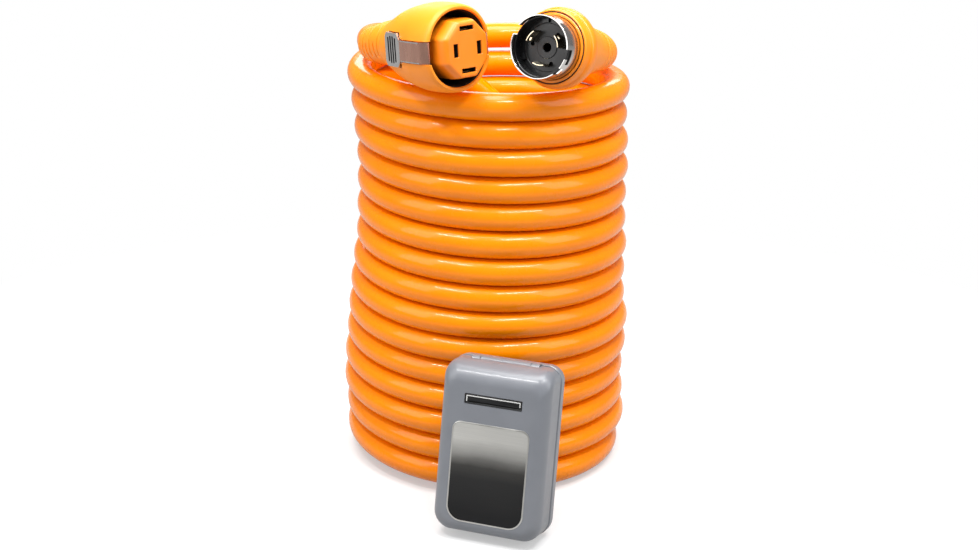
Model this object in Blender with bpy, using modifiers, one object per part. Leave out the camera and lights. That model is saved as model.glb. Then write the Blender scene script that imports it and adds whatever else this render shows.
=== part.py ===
"""Shore power cord: a 50 A cable wound in a tall coil, with a latching female connector,
a twist-lock male plug and the flap-lidded wall inlet that the connector fits.

Units are metres, +Z is up, and the photographed front looks towards -Y.
Each connector-like assembly is modelled in its own frame, whose +Z points out of the
mating face, +Y up and +X to the viewer's right, and an empty carries it to its place.
"""
import math

import bmesh
import bpy
from mathutils import Matrix, Vector
from mathutils.bvhtree import BVHTree

MM = 0.001

# ---------------------------------------------------------------- driving dimensions
GAP = 0.3 * MM                      # clearance between touching pieces

# Cable and coil
CABLE_D = 30.0 * MM
CABLE_R = CABLE_D / 2
COIL_R = 145.0 * MM                 # radius of the coil's centre line
COIL_PITCH = CABLE_D + 0.5 * MM     # rise of each turn
COIL_SWEEP = 5263.0                 # degrees wound, from the floor to the top
COIL_START = -13.0                  # degrees, seen from above, where the climb starts
RUN_IN_SWEEP = 150.0                # degrees of the inner loop that lies on the floor
RUN_IN_RISE = 30.0                  # degrees over which that loop's end lifts off its flat
RUN_IN_INSET = CABLE_D + 1.5 * MM   # how far inside the first turn that loop lies
BLEND_BEFORE = 60.0                 # degrees of the first turn that already draw inwards
BLEND_SWEEP = 200.0
POINTS_PER_TURN = 24
FLOOR_CUT = CABLE_D / 10            # depth of the flat that the faceted coil stands on
BORE_CLEARANCE = 0.8 * MM           # between the cable and the bores that it passes through

# Routes that aren't wound: degrees seen from above, radius and height, in millimetres.
CONNECTOR_ROUTE = [
    (203, 135, 492.5), (185, 133, 490.0), (167, 127, 485.0),
    (150, 118.5, 477.0), (134, 114.2, 461.5), (117, 113.2, 436.5), (97, 113.2, 402.0),
    (72, 113.2, 360.0), (42, 113.2, 312.0), (7, 113.2, 258.0), (-28, 113.2, 205.0),
    (-63, 113.2, 153.0), (-98, 113.2, 104.0), (-133, 113.2, 61.0), (-163, 113.5, 35.0),
    (-193, 113.5, 19.5),
]
PLUG_ROUTE = [
    (105, 146.0, 461.5), (85, 146.2, 464.0), (62, 144.0, 466.5),
    (40, 139.0, 469.0), (20, 132.0, 471.5), (2, 126.5, 475.0), (-14, 125.0, 481.0),
]
LEAD_SPACING = 25.0 * MM            # between the points of a lead's tube
STRAIGHT_END = 4.0 * MM             # the straight stretch where two tubes meet
STRAIGHT_EXIT = 10.0 * MM           # the straight stretch behind a rigid shell
CABLE_END_IN = 12.0 * MM            # how far the jacket reaches into each rigid shell

# Female connector, lengths measured back from the hood's rim
CONNECTOR_RIM = (-31.0 * MM, -165.0 * MM, 511.5 * MM)
CONNECTOR_YAW = 42.0
CONNECTOR_TILT = 6.0
HOOD_W = 88.0 * MM
HOOD_H = 90.0 * MM
SHELL_LENGTH = 100.0 * MM
SHELL_REAR_R = 25.0 * MM
HOOD_WALL = 5.5 * MM
HOOD_DEPTH = 45.0 * MM
MOUTH_TAPER = 2.0 * MM              # how much narrower the mouth is at its bottom
INSERT_W = 62.0 * MM
INSERT_H = 66.0 * MM
INSERT_CHAMFER = 17.0 * MM
INSERT_PROUD = 13.0 * MM
INSERT_REAR = 52.0 * MM
NOSE_LENGTH = 6.0 * MM
SLOT_LONG = 18.0 * MM
SLOT_SHORT = 13.5 * MM
SLOT_THICK = 4.5 * MM
SLOT_UP = 21.5 * MM                 # line slots above and below the centre
SLOT_SIDE = 15.5 * MM               # side slots left and right of the centre
CONTACT_RECESS = 6.0 * MM
CONTACT_WALL = 0.6 * MM
ROOM_HALF_W = 20.5 * MM             # wiring room inside the shell
ROOM_HALF_H = 27.0 * MM
BOOT_LENGTH = 50.0 * MM
BOOT_TIP_R = 19.0 * MM

# Latch levers on the connector's two sides
LATCH_T = 1.6 * MM
PAD_T = 4.0 * MM
PAD_H = 35.0 * MM
STRAP_H = 22.0 * MM
PAD_REAR = 81.0 * MM
PAD_FRONT = 53.0 * MM
PIVOT_BACK = 48.5 * MM
PIVOT_INSET = 4.6 * MM              # pin axis below the strap's outer face
LATCH_PIN_R = 1.2 * MM
POCKET_DEPTH = 7.3 * MM
POCKET_MARGIN = 0.8 * MM
LATCH_PROUD = 0.6 * MM              # the lever's outer face above the shell
HOOK_BACK = 9.0 * MM                # where the strap bends in towards the mouth
HOOK_IN = 4.5 * MM
GROOVE_DEPTH = 1.2 * MM
LATCH_EAR_R = 2.4 * MM
LATCH_EAR_T = 3.0 * MM
STRAP_BEND = 30.0 * MM              # where the strap turns with the shell's side
LATCH_WIRE = 0.5 * MM
LATCH_COILS = 4                     # of the spring round each lever's pin

# Male plug, lengths measured back from the shroud's rim
PLUG_FLANGE = (72.0 * MM, -130.0 * MM, 505.2 * MM)
PLUG_YAW = 30.0
PLUG_TILT = 12.0
FLANGE_BACK = 46.0 * MM             # from the rim to the middle of the collar's flange
SHROUD_R = 33.0 * MM
SHROUD_WALL = 1.5 * MM
SHROUD_LENGTH = 52.0 * MM
FACE_RECESS = 19.0 * MM
INSULATOR_T = 26.0 * MM
CENTRE_HOLE_R = 4.5 * MM
BLADE_RADIUS = 18.5 * MM
BLADE_T = 2.2 * MM
BLADE_SPAN = 44.0                   # degrees
BLADE_TIP = 6.0 * MM                # blade ends this far behind the rim
SEAL_FRONT = 29.0 * MM
SEAL_T = 3.0 * MM
COLLAR_R = 42.8 * MM
COLLAR_FRONT = 32.5 * MM
COLLAR_REAR = 56.0 * MM
BODY_REAR = 114.0 * MM
BODY_WALL = 3.5 * MM
PLUG_BOOT_R = 25.0 * MM
PLUG_CORE_CIRCLE = 15.0 * MM        # radius on which the plug's cores meet its blades

# Wall inlet, standing on the floor and leaning against the coil
INLET_YAW = 20.0
INLET_LEAN = 12.0
INLET_X = 20.0 * MM
INLET_W = 122.0 * MM
INLET_H = 186.0 * MM
INLET_CORNER = 15.0 * MM
FLANGE_T = 10.0 * MM
LID_DEPTH = 40.0 * MM
LID_WALL = 3.2 * MM
LID_MARGIN = 1.0 * MM               # the lid is this much inside the flange's outline
SOCKET_CLEARANCE = 1.5 * MM         # around the connector's insert
SOCKET_WALL = 6.0 * MM
SOCKET_FRONT = 36.0 * MM            # collar's rim, in front of the wall plane
SOCKET_Y = -18.0 * MM               # socket's centre, below the inlet's middle
REAR_DEPTH = 30.0 * MM
COVER_T = 2.5 * MM
CARRIER_T = 8.0 * MM
CARRIER_BACK = 14.0 * MM
LEDGE = 3.0 * MM
PIN_THICK = 3.0 * MM
PIN_REACH = 24.0 * MM               # how far the pins stand in front of the wall plane
HINGE_DROP = 4.0 * MM               # hinge axis below the flange's top edge
HINGE_FRONT = 16.0 * MM             # hinge axis in front of the wall plane
KNUCKLE_R = 5.5 * MM
KNUCKLE_WALL = 1.2 * MM
HINGE_PIN_R = 2.2 * MM
BARREL_L = 56.0 * MM
EAR_L = 9.0 * MM
LID_WIRE = 0.6 * MM
LID_COILS = 8                       # of the lid's spring
PLATE_W = 84.0 * MM
PLATE_H = 106.0 * MM
PLATE_T = 1.0 * MM
PLATE_Y = -25.0 * MM
LATCH_SLOT_W = 64.0 * MM
LATCH_SLOT_H = 11.0 * MM
LATCH_SLOT_Y = 54.0 * MM
BEZEL_T = 2.0 * MM
GASKET_T = 2.0 * MM
SCREW_R = 2.0 * MM
SCREW_HEAD_R = 3.6 * MM
SCREW_INSET = 7.0 * MM              # from the housing's edges

# Colours: linear base colour, roughness, metallic
ORANGE = (0.95, 0.28, 0.02, 1.0)
ORANGE_SOFT = (0.92, 0.25, 0.02, 1.0)
BLACK = (0.02, 0.02, 0.022, 1.0)
GREY = (0.24, 0.26, 0.30, 1.0)
STEEL = (0.62, 0.61, 0.60, 1.0)
BRASS = (0.80, 0.58, 0.28, 1.0)
CORE_COLOURS = {
    "line_1": (0.03, 0.03, 0.03, 1.0), "line_2": (0.60, 0.03, 0.02, 1.0),
    "neutral": (0.85, 0.85, 0.83, 1.0), "ground": (0.03, 0.30, 0.06, 1.0),
}
CORE_R = 3.6 * MM


# ---------------------------------------------------------------- scene helpers
def clear_scene():
    for obj in list(bpy.data.objects):
        bpy.data.objects.remove(obj, do_unlink=True)


def make_collection(name):
    collection = bpy.data.collections.new(name)
    bpy.context.scene.collection.children.link(collection)
    return collection


def make_material(name, colour, roughness, metallic=0.0):
    material = bpy.data.materials.new(name)
    material.use_nodes = True
    shader = material.node_tree.nodes["Principled BSDF"]
    shader.inputs["Base Color"].default_value = colour
    shader.inputs["Roughness"].default_value = roughness
    shader.inputs["Metallic"].default_value = metallic
    material.diffuse_color = colour
    return material


def make_empty(name, parent=None, matrix=None):
    empty = bpy.data.objects.new(name, None)
    PARTS.objects.link(empty)
    empty.parent = parent
    if matrix is not None:
        empty.matrix_local = matrix
    return empty


def assembly_matrix(origin, yaw, tilt):
    """A frame whose +Z points at the viewer, turned yaw degrees to the right and tilt up."""
    yaw, tilt = math.radians(yaw), math.radians(tilt)
    forward = Vector((math.sin(yaw) * math.cos(tilt), -math.cos(yaw) * math.cos(tilt), math.sin(tilt)))
    right = Vector((0, 0, 1)).cross(forward).normalized()
    up = forward.cross(right)
    turn = Matrix((right, up, forward)).transposed().to_4x4()
    return Matrix.Translation(origin) @ turn


def place(name, data, material, parent, pivot=None):
    """Link a mesh or curve as a named piece. A piece on a pivot keeps its assembly's frame."""
    obj = bpy.data.objects.new(name, data)
    PARTS.objects.link(obj)
    obj.parent = parent
    if pivot is not None:
        obj.location = -Vector(pivot)
    obj.data.materials.append(material)
    return obj


def make_cutter(name, data, parent, pivot=None):
    obj = bpy.data.objects.new(name, data)
    CUTTERS.objects.link(obj)
    obj.parent = parent
    if pivot is not None:
        obj.location = -Vector(pivot)
    obj.hide_render = True
    obj.display_type = "WIRE"
    return obj


def combine(target, other, operation="DIFFERENCE"):
    modifier = target.modifiers.new(operation.title(), "BOOLEAN")
    modifier.operation = operation
    modifier.solver = "EXACT"
    modifier.object = other


def mesh_from_bmesh(name, bm):
    bmesh.ops.recalc_face_normals(bm, faces=bm.faces)
    mesh = bpy.data.meshes.new(name)
    bm.to_mesh(mesh)
    bm.free()
    return mesh


def smooth(mesh, angle=35.0):
    mesh.shade_smooth()
    mesh.set_sharp_from_angle(angle=math.radians(angle))
    return mesh


# ---------------------------------------------------------------- shape helpers
def loft_mesh(name, rings, closed=False):
    """Skin rings of equal point counts. closed joins the last ring to the first."""
    bm = bmesh.new()
    loops = [[bm.verts.new(point) for point in ring] for ring in rings]
    pairs = list(zip(loops, loops[1:]))
    if closed:
        pairs.append((loops[-1], loops[0]))
    for near, far in pairs:
        for index in range(len(near)):
            following = (index + 1) % len(near)
            bm.faces.new((near[index], near[following], far[following], far[index]))
    if not closed:
        bm.faces.new(loops[0])
        bm.faces.new(loops[-1])
    return smooth(mesh_from_bmesh(name, bm))


def oval_ring(half_w, half_h, z, power=2.0, count=28, centre=(0.0, 0.0)):
    points = []
    for index in range(count):
        angle = 2 * math.pi * (index + 0.5) / count
        x, y = math.cos(angle), math.sin(angle)
        points.append(Vector((
            centre[0] + half_w * math.copysign(abs(x) ** (2 / power), x),
            centre[1] + half_h * math.copysign(abs(y) ** (2 / power), y), z)))
    return points


def rounded_outline(width, height, radius, steps=4, centre=(0.0, 0.0)):
    """Corner arcs of a rounded rectangle, counter-clockwise."""
    points = []
    for corner, (sx, sy) in enumerate(((1, 1), (-1, 1), (-1, -1), (1, -1))):
        for step in range(steps + 1):
            angle = math.pi / 2 * (corner + step / steps)
            points.append((
                centre[0] + sx * (width / 2 - radius) + radius * math.cos(angle),
                centre[1] + sy * (height / 2 - radius) + radius * math.sin(angle)))
    return points


def cut_corner_outline(width, height, cut, centre=(0.0, 0.0)):
    w, h = width / 2, height / 2
    corners = ((w, h - cut), (w - cut, h), (cut - w, h), (-w, h - cut),
               (-w, cut - h), (cut - w, -h), (w - cut, -h), (w, cut - h))
    return [(centre[0] + x, centre[1] + y) for x, y in corners]


def at_height(outline, z):
    return [Vector((x, y, z)) for x, y in outline]


def curve_to_mesh(curve, name):
    """Read a filled curve as a mesh and weld its caps."""
    holder = bpy.data.objects.new(name, curve)
    bpy.context.scene.collection.objects.link(holder)
    graph = bpy.context.evaluated_depsgraph_get()
    mesh = bpy.data.meshes.new_from_object(holder.evaluated_get(graph))
    bm = bmesh.new()
    bm.from_mesh(mesh)
    bmesh.ops.remove_doubles(bm, verts=bm.verts, dist=1e-6)
    bm.to_mesh(mesh)
    bm.free()
    bpy.data.objects.remove(holder)
    mesh.name = name
    return mesh


def flat_mesh(name, outlines, z_low, z_high):
    """Extrude flat outlines: the first is the edge, and the others are holes."""
    curve = bpy.data.curves.new(name, "CURVE")
    curve.dimensions = "2D"
    curve.fill_mode = "BOTH"
    curve.extrude = (z_high - z_low) / 2
    for outline in outlines:
        spline = curve.splines.new("POLY")
        spline.points.add(len(outline) - 1)
        for point, (x, y) in zip(spline.points, outline):
            point.co = (x, y, 0, 1)
        spline.use_cyclic_u = True
    mesh = curve_to_mesh(curve, name)
    mesh.transform(Matrix.Translation((0, 0, (z_low + z_high) / 2)))
    return smooth(mesh)


def circle_outline(radius, centre=(0.0, 0.0), count=16):
    return [(centre[0] + radius * math.cos(2 * math.pi * index / count),
             centre[1] + radius * math.sin(2 * math.pi * index / count)) for index in range(count)]


def turned(name, profile, material, parent, steps=24, cutter=False):
    """Turn (radius, height) pairs about +Z. They run down the outside, then up the inside."""
    bm = bmesh.new()
    verts = [bm.verts.new((radius, 0, height)) for radius, height in profile]
    for first, second in zip(verts, verts[1:]):
        bm.edges.new((first, second))
    if profile[0][0] > 0:
        bm.edges.new((verts[-1], verts[0]))
    mesh = bpy.data.meshes.new(name)
    bm.to_mesh(mesh)
    bm.free()
    obj = make_cutter(name, mesh, parent) if cutter else place(name, mesh, material, parent)
    screw = obj.modifiers.new("Turn", "SCREW")
    screw.steps = screw.render_steps = steps
    screw.use_merge_vertices = True
    screw.merge_threshold = 1e-5
    screw.use_smooth_shade = True
    return obj


def box_mesh(name, boxes):
    """One mesh of separate boxes, each (centre, size) or (centre, size, turn)."""
    bm = bmesh.new()
    for entry in boxes:
        centre, size = entry[0], entry[1]
        turn = entry[2] if len(entry) > 2 else Matrix.Identity(4)
        scale = Matrix.Diagonal((*size, 1))
        bmesh.ops.create_cube(bm, size=1, matrix=Matrix.Translation(centre) @ turn @ scale)
    return mesh_from_bmesh(name, bm)


def rod_mesh(name, rods, sides=12):
    """One mesh of separate round rods, each (centre, radius, length, axis letter)."""
    turns = {"x": Matrix.Rotation(math.pi / 2, 4, "Y"), "y": Matrix.Rotation(math.pi / 2, 4, "X"),
             "z": Matrix.Identity(4)}
    bm = bmesh.new()
    for centre, radius, length, axis in rods:
        matrix = Matrix.Translation(centre) @ turns[axis] @ Matrix.Rotation(math.pi / sides, 4, "Z")
        bmesh.ops.create_cone(bm, cap_ends=True, segments=sides, radius1=radius, radius2=radius,
                              depth=length, matrix=matrix)
    return smooth(mesh_from_bmesh(name, bm))


def tube(name, points, radius, resolution, material, parent):
    curve = bpy.data.curves.new(name, "CURVE")
    curve.dimensions = "3D"
    curve.bevel_depth = radius
    curve.bevel_resolution = resolution
    curve.use_fill_caps = True
    spline = curve.splines.new("POLY")
    spline.points.add(len(points) - 1)
    for target, point in zip(spline.points, points):
        target.co = (*point, 1)
    return place(name, curve, material, parent)


def spring_helix(pin_r, wire_r, coils, per_coil=8):
    """Points of a spring round a pin: two across it, then the place along it."""
    mean = pin_r + GAP + wire_r
    length = coils * 3 * wire_r
    points = []
    for index in range(coils * per_coil + 1):
        angle = 2 * math.pi * index / per_coil
        along = (index / (coils * per_coil) - 0.5) * length
        points.append((mean * math.cos(angle), mean * math.sin(angle), along))
    return points


def swept_rings(path, radii, count=18):
    """Round rings square to a path, one for each radius."""
    rings = []
    side = None
    for index, (point, radius) in enumerate(zip(path, radii)):
        ahead = path[min(index + 1, len(path) - 1)] - path[max(index - 1, 0)]
        ahead.normalize()
        side = ahead.cross(Vector((0, 0, 1))) if side is None else side - ahead * side.dot(ahead)
        side.normalize()
        up = side.cross(ahead)
        rings.append([point + radius * (math.cos(2 * math.pi * step / count) * side
                                        + math.sin(2 * math.pi * step / count) * up)
                      for step in range(count)])
    return rings


# ---------------------------------------------------------------- cable routes
def smoothstep(value):
    value = min(max(value, 0.0), 1.0)
    return value * value * (3 - 2 * value)


def polar(angle, radius, height):
    angle = math.radians(angle)
    return Vector((radius * math.cos(angle), radius * math.sin(angle), height))


def coil_point(sweep):
    """A point of the winding, sweep degrees clockwise from where its climb starts."""
    inset = RUN_IN_INSET * smoothstep((BLEND_BEFORE - sweep) / BLEND_SWEEP)
    sunk = FLOOR_CUT * smoothstep((RUN_IN_SWEEP + sweep) / RUN_IN_RISE)
    height = CABLE_R - sunk + COIL_PITCH * max(sweep, 0.0) / 360
    return polar(COIL_START - sweep, COIL_R - inset, height)


def coil_direction(sweep):
    return (coil_point(sweep + 0.01) - coil_point(sweep - 0.01)).normalized()


def coil_points():
    """The winding's points, with a short straight stretch at both ends."""
    step = 360 / POINTS_PER_TURN
    count = round((COIL_SWEEP + RUN_IN_SWEEP) / step)
    points = [coil_point(-RUN_IN_SWEEP + (COIL_SWEEP + RUN_IN_SWEEP) * index / count)
              for index in range(count + 1)]
    points.insert(1, points[0] + coil_direction(-RUN_IN_SWEEP) * STRAIGHT_END)
    points.insert(-1, points[-1] - coil_direction(COIL_SWEEP) * STRAIGHT_END)
    return points


def as_polar(point, near):
    """Degrees, radius and height in millimetres, with the angle within half a turn of near."""
    angle = math.degrees(math.atan2(point.y, point.x))
    angle += 360 * round((near - angle) / 360)
    return Vector((angle, math.hypot(point.x, point.y) / MM, point.z / MM))


def smooth_route(route, per_span=12):
    """A smooth curve through (degrees, radius, height) points given in degrees and millimetres."""
    controls = [Vector(point) for point in route]
    controls = [controls[0] * 2 - controls[1]] + controls + [controls[-1] * 2 - controls[-2]]
    points = []
    for index in range(len(route) - 1):
        before, start, end, after = controls[index:index + 4]
        for step in range(per_span):
            t = step / per_span
            point = 0.5 * (2 * start + (end - before) * t
                           + (2 * before - 5 * start + 4 * end - after) * t * t
                           + (3 * start - before - 3 * end + after) * t ** 3)
            points.append(polar(point[0], point[1] * MM, point[2] * MM))
    points.append(polar(route[-1][0], route[-1][1] * MM, route[-1][2] * MM))
    return points


def at_distances(points, distances):
    """Points at the given distances along a polyline."""
    found, travelled, wanted = [], 0.0, list(distances)
    for first, second in zip(points, points[1:]):
        span = (second - first).length
        while wanted and travelled + span >= wanted[0]:
            found.append(first.lerp(second, (wanted[0] - travelled) / span))
            wanted.pop(0)
        travelled += span
    return found


def lead_points(rear, forward, route, sweep, into_coil):
    """A lead's tube, from inside a rigid shell along its route to the winding's end."""
    joint = coil_point(sweep)
    away = coil_direction(sweep) * (-1 if into_coil else 1)
    exit_points = [rear - forward * STRAIGHT_EXIT * share for share in (0.0, 0.5, 1.0)]
    controls = [as_polar(point, route[0][0]) for point in exit_points] + [Vector(p) for p in route]
    ending = [joint + away * (GAP + STRAIGHT_END), joint + away * GAP]
    controls.append(as_polar(ending[0], route[-1][0]))
    fine = smooth_route(controls)
    length = sum((second - first).length for first, second in zip(fine, fine[1:]))
    boot = [BOOT_LENGTH * index / 5 for index in range(1, 6)]
    count = round((length - BOOT_LENGTH) / LEAD_SPACING)
    rest = [BOOT_LENGTH + (length - BOOT_LENGTH) * index / count for index in range(1, count)]
    middle = at_distances(fine, boot + rest)
    return [rear + forward * CABLE_END_IN, rear] + middle + ending


def least_self_gap(points, skip):
    """The least gap of the winding to itself, past the stretch right next to each point."""
    least = None
    for index, point in enumerate(points):
        for other in points[index + skip:index + skip + 2 * POINTS_PER_TURN]:
            distance = (point - other).length
            least = distance if least is None or distance < least else least
    return least - CABLE_D


# ---------------------------------------------------------------- cable
def build_cable(connector_lead, plug_lead):
    wound = coil_points()
    coil = tube("cable_coil", wound, CABLE_R, 1, MATERIALS["cable"], ROOT)
    mesh = curve_to_mesh(coil.data.copy(), "cable_coil_mesh")
    bpy.data.objects.remove(coil)
    coil = place("cable_coil", smooth(mesh, 50), MATERIALS["cable"], ROOT)
    reach = 2 * COIL_R + 2 * CABLE_D
    slab = box_mesh("floor_slab", [((0, 0, -CABLE_R), (reach, reach, CABLE_D))])
    combine(coil, make_cutter("floor_slab", slab, ROOT))
    print("coil least gap to itself, mm:", round(least_self_gap(wound, POINTS_PER_TURN // 2) / MM, 3))

    tube("cable_connector_lead", connector_lead, CABLE_R, 3, MATERIALS["cable"], ROOT)
    tube("cable_plug_lead", plug_lead, CABLE_R, 3, MATERIALS["cable"], ROOT)
    return coil


def build_boot(name, lead, root_r, tip_r):
    """A ribbed strain relief that bends with the cable, open right through."""
    ribs = 4
    samples = 3 * ribs
    distances = [GAP + (BOOT_LENGTH - GAP) * index / samples for index in range(samples + 1)]
    path = at_distances(lead[1:], distances)
    outer, inner = [], []
    for index in range(samples + 1):
        radius = root_r + (tip_r - root_r) * index / samples
        groove = 1.6 * MM if index % 3 == 2 and index < samples else 0.0
        outer.append(radius - groove)
        inner.append(CABLE_R + BORE_CLEARANCE)
    outer[-1] -= 1.0 * MM
    rings = swept_rings(path, outer) + swept_rings(path, inner)[::-1]
    return place(name, loft_mesh(name, rings, closed=True), MATERIALS["boot"], ROOT)


# ---------------------------------------------------------------- female connector
# Place from 0 at the rim over 1 at the insert's rear to 2 at the shell's rear, growth in width
# and in height from the shell's rear to the hood, and squareness.
SHELL_GROWTH = [
    (2.0, 0.0, 0.0, 2.0), (1.958, 0.079, 0.075, 2.0), (1.75, 0.237, 0.275, 2.1),
    (1.417, 0.474, 0.625, 2.2), (1.0, 0.7105, 0.9, 2.2), (0.654, 0.895, 1.05, 2.15),
    (0.231, 1.0, 1.05, 2.1), (0.0, 0.974, 0.975, 2.1),
]


def shell_sections():
    """Distance behind the rim, half width, half height and squareness, from the rear to the rim."""
    wider, taller = HOOD_W / 2 - SHELL_REAR_R, HOOD_H / 2 - SHELL_REAR_R
    sections = []
    for place_along, width, height, power in SHELL_GROWTH:
        back = INSERT_REAR * min(place_along, 1) + (SHELL_LENGTH - INSERT_REAR) * max(place_along - 1, 0)
        sections.append((back, SHELL_REAR_R + wider * width, SHELL_REAR_R + taller * height, power))
    return sections


def shell_half_width(back):
    """The shell's half width, some distance behind the rim."""
    sections = [(entry[0], entry[1]) for entry in shell_sections()]
    for (rear, rear_w), (front, front_w) in zip(sections, sections[1:]):
        if back >= front:
            share = (rear - back) / (rear - front)
            return rear_w + (front_w - rear_w) * share
    return sections[-1][1]


def bar_rings(side, stations):
    """Rectangular rings along the shell's side: (distance back, half height, low, high)."""
    rings = []
    for back, half, low, high in stations:
        surface = shell_half_width(max(back, HOOK_BACK)) + LATCH_PROUD
        near, far, z = side * (surface - low), side * (surface - high), -back
        rings.append([Vector((near, -half, z)), Vector((far, -half, z)),
                      Vector((far, half, z)), Vector((near, half, z))])
    return rings


def latch_stations():
    """The lever's side profile, from the pad's rear over its grooves to the hook at the rim."""
    pad_half, strap_half = PAD_H / 2, STRAP_H / 2
    groove_floor = GROOVE_DEPTH
    stations = [(PAD_REAR, 0.55 * pad_half, PAD_T, 0.0), (PAD_REAR - 5 * MM, pad_half, PAD_T, 0.0)]
    pitch = (PAD_REAR - PAD_FRONT - 10 * MM) / 8
    for groove in range(4):
        near = PAD_REAR - 7 * MM - 2 * groove * pitch
        stations += [(near, pad_half, PAD_T, 0.0), (near - 0.2 * pitch, pad_half, PAD_T, groove_floor),
                     (near - pitch, pad_half, PAD_T, groove_floor),
                     (near - 1.2 * pitch, pad_half, PAD_T, 0.0)]
    stations += [(PAD_FRONT + 3 * MM, pad_half, PAD_T, 0.0), (PAD_FRONT - MM, strap_half, LATCH_T, 0.0),
                 (STRAP_BEND, strap_half, LATCH_T, 0.0), (HOOK_BACK, strap_half, LATCH_T, 0.0),
                 (MM, strap_half, LATCH_T + HOOK_IN, HOOK_IN)]
    return stations


def pocket_stations():
    """The room around the lever: deep behind the pivot, shallow under the strap, open at the hook."""
    pad_half, strap_half, out = PAD_H / 2 + POCKET_MARGIN, STRAP_H / 2 + POCKET_MARGIN, -8 * MM
    shallow = LATCH_T + 1.2 * MM
    through = LATCH_T + HOOK_IN + 2 * MM
    deep_end = PIVOT_BACK - LATCH_EAR_R - 0.5 * MM
    return [(PAD_REAR + POCKET_MARGIN, 0.6 * pad_half, POCKET_DEPTH, out),
            (PAD_REAR - 5 * MM, pad_half, POCKET_DEPTH, out),
            (PAD_FRONT + 3 * MM, pad_half, POCKET_DEPTH, out),
            (PAD_FRONT - MM, strap_half, POCKET_DEPTH, out),
            (deep_end, strap_half, POCKET_DEPTH, out),
            (deep_end - 0.5 * MM, strap_half, shallow, out),
            (HOOK_BACK + 2 * MM, strap_half, shallow, out),
            (HOOK_BACK + MM, strap_half, through, out),
            (-5 * MM, strap_half, through, out)]


def slot_places():
    """The four contacts: name, centre x, centre y, width and height."""
    return [("line_1", 0.0, SLOT_UP, SLOT_LONG, SLOT_THICK),
            ("line_2", 0.0, -SLOT_UP, SLOT_LONG, SLOT_THICK),
            ("neutral", -SLOT_SIDE, 0.0, SLOT_THICK + 1 * MM, SLOT_SHORT),
            ("ground", SLOT_SIDE, 0.0, SLOT_THICK + 1 * MM, SLOT_SHORT)]


def build_connector_shell(frame):
    rings = [oval_ring(half_w, half_h, -back, power) for back, half_w, half_h, power in shell_sections()]
    shell = place("connector_shell", loft_mesh("connector_shell", rings), MATERIALS["shell"], frame)
    seat_w, seat_h = INSERT_W / 2 + GAP, INSERT_H / 2 + GAP
    hollow = [
        oval_ring(CABLE_R + BORE_CLEARANCE, CABLE_R + BORE_CLEARANCE, -SHELL_LENGTH - 5 * MM),
        oval_ring(CABLE_R + BORE_CLEARANCE, CABLE_R + BORE_CLEARANCE, -SHELL_LENGTH + 8 * MM),
        oval_ring(ROOM_HALF_W, ROOM_HALF_W, -SHELL_LENGTH + 9 * MM),
        oval_ring(ROOM_HALF_W, ROOM_HALF_H, -INSERT_REAR - 3 * MM, 2.4),
        oval_ring(ROOM_HALF_W, ROOM_HALF_H, -INSERT_REAR - GAP, 2.4),
    ]
    combine(shell, make_cutter("wiring_room", loft_mesh("wiring_room", hollow), frame))
    seat = flat_mesh("insert_seat", [cut_corner_outline(2 * seat_w, 2 * seat_h, INSERT_CHAMFER)],
                     -INSERT_REAR - GAP - 0.1 * MM, -HOOD_DEPTH + 1 * MM)
    combine(shell, make_cutter("insert_seat", seat, frame))
    mouth = [oval_ring(HOOD_W / 2 - HOOD_WALL - MOUTH_TAPER, HOOD_H / 2 - HOOD_WALL - MOUTH_TAPER,
                       -HOOD_DEPTH, 2.1),
             oval_ring(HOOD_W / 2 - HOOD_WALL, HOOD_H / 2 - HOOD_WALL, -10 * MM, 2.1),
             oval_ring(HOOD_W / 2 - HOOD_WALL, HOOD_H / 2 - HOOD_WALL, 6 * MM, 2.1)]
    combine(shell, make_cutter("hood_mouth", loft_mesh("hood_mouth", mouth), frame))
    return shell


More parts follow.
